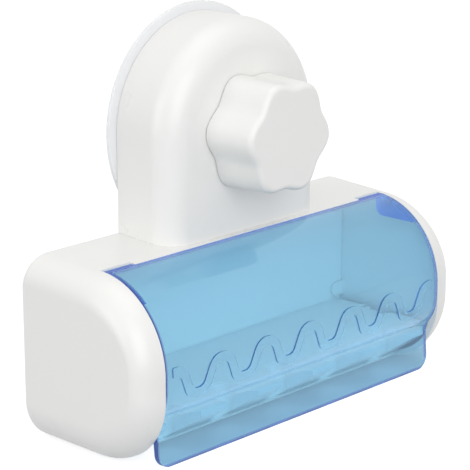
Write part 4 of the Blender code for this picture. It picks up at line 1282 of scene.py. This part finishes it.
CAMERA_PLACE = (-0.4744, -0.4463, 0.2452)
LAMP_AIM = (0.0, 0.0, 0.06)
LAMPS = (  # name, place, width in metres and power in watts
    ("key", (-0.54, -1.0, 0.52), 0.9, 5.5),
    ("top", (0.1, -0.15, 1.2), 0.9, 2.1),
    ("left", (-1.1, 0.25, 0.4), 0.6, 2.1),
)
FLOOR_PAINT = (0.48, 0.49, 0.51)
WHITE_LIGHT = (1.0, 1.0, 1.0, 1.0)
ROOM_LIGHT = (1.0, 0.99, 0.98, 1.0)


class HOLDER_OT_stage(bpy.types.Operator):
    """Set the floor, the even room light, the soft lamps and the camera"""
    bl_idname = "holder.stage"
    bl_label = "Stage"

    def execute(self, context):
        settings = context.scene.holder_stage
        scene = context.scene
        floor = begin("plane", size=settings.floor)
        with editing(floor):
            pick_all()
            bpy.ops.mesh.subdivide(number_cuts=3)
        floor.name = "floor"
        floor.data.materials.append(floor_material())
        light_room(scene, settings.room)
        for lamp in LAMPS:
            add_lamp(*lamp)
        bpy.ops.object.camera_add(location=CAMERA_PLACE, rotation=(settings.tilt, 0.0, settings.turn))
        camera = context.object
        camera.data.lens = settings.lens
        camera.data.sensor_width = 36.0
        camera.data.clip_end = 20.0
        scene.camera = camera
        scene.view_settings.view_transform = "Standard"
        return {"FINISHED"}


def seen_mask(tree, through_glass=1.0):
    """1 for rays to the camera and mirrored ones, and a share of that for rays through glass."""
    path = node(tree, "ShaderNodeLightPath").outputs
    straight = maths(tree, "MAXIMUM", path["Is Camera Ray"], path["Is Glossy Ray"])
    less = through_glass - 1.0
    return maths(tree, "MULTIPLY_ADD", path["Is Transmission Ray"], less, straight, clamp=True)


def floor_material():
    """A paint that keeps the holder's shadow and looks white to the camera."""
    material = finish("floor_paint", FLOOR_PAINT, 0.9, wear=0.0, drift=0.0, Specular_IOR_Level=0.0)
    tree, shader = main_shader(material)
    glow = node(tree, "ShaderNodeEmission", Strength=0.75)
    both = node(tree, "ShaderNodeAddShader")
    feed(tree, shader.outputs[0], both.inputs[0])
    feed(tree, glow.outputs[0], both.inputs[1])
    choose_shader(tree, seen_mask(tree, 0.2), shader, both)
    return material


def light_room(scene, strength):
    """Light the holder evenly, and show the camera a white room."""
    scene.world = bpy.data.worlds.new("room")
    scene.world.use_nodes = True
    tree = scene.world.node_tree
    seen = tree.nodes["Background"]
    feed_named(tree, seen, Strength=1.0, Color=WHITE_LIGHT)
    light = node(tree, "ShaderNodeBackground", Strength=strength, Color=ROOM_LIGHT)
    choose_shader(tree, seen_mask(tree), light, seen, "World Output")


def add_lamp(name, place, size, power):
    """A square lamp that faces the middle of the holder."""
    toward = Vector(LAMP_AIM) - Vector(place)
    turn = toward.to_track_quat("-Z", "Y").to_euler()
    bpy.ops.object.light_add(type="AREA", location=place, rotation=turn)
    lamp = bpy.context.object
    lamp.name = name
    lamp.data.size = size
    lamp.data.energy = power
    lamp.visible_camera = False


# Panel

STEPS = (
    HOLDER_OT_finishes, HOLDER_OT_rack, HOLDER_OT_brush_rack, HOLDER_OT_back, HOLDER_OT_cover,
    HOLDER_OT_mount, HOLDER_OT_mount_screws, HOLDER_OT_cup, HOLDER_OT_stud, HOLDER_OT_knob, HOLDER_OT_nut,
    HOLDER_OT_stage,
)


class HOLDER_PT_panel(bpy.types.Panel):
    """Lists the steps that build the holder"""
    bl_idname = "HOLDER_PT_panel"
    bl_label = "Toothbrush Holder"
    bl_space_type = "VIEW_3D"
    bl_region_type = "UI"
    bl_category = "Toothbrush Holder"

    def draw(self, context):
        for step in STEPS:
            self.layout.operator(step.bl_idname)
        for group in SETTINGS:
            box = self.layout.box()
            for key in SETTINGS[group].__annotations__:
                box.prop(getattr(context.scene, group), key)


SETTINGS = {
    "holder_rack": RackSizes,
    "holder_tray": TraySizes,
    "holder_cover": CoverSizes,
    "holder_wave": WaveSizes,
    "holder_mount": MountSizes,
    "holder_knob": KnobSizes,
    "holder_finishes": Finishes,
    "holder_stage": StageSettings,
}


def register():
    for group, kind in SETTINGS.items():
        bpy.utils.register_class(kind)
        setattr(bpy.types.Scene, group, PointerProperty(type=kind))
    for kind in (*STEPS, HOLDER_PT_panel):
        bpy.utils.register_class(kind)


def unregister():
    for kind in (HOLDER_PT_panel, *reversed(STEPS)):
        bpy.utils.unregister_class(kind)
    for group, kind in SETTINGS.items():
        delattr(bpy.types.Scene, group)
        bpy.utils.unregister_class(kind)


def main():
    register()
    for step in STEPS:
        group, action = step.bl_idname.split(".")
        getattr(getattr(bpy.ops, group), action)()


if __name__ == "__main__":
    main()
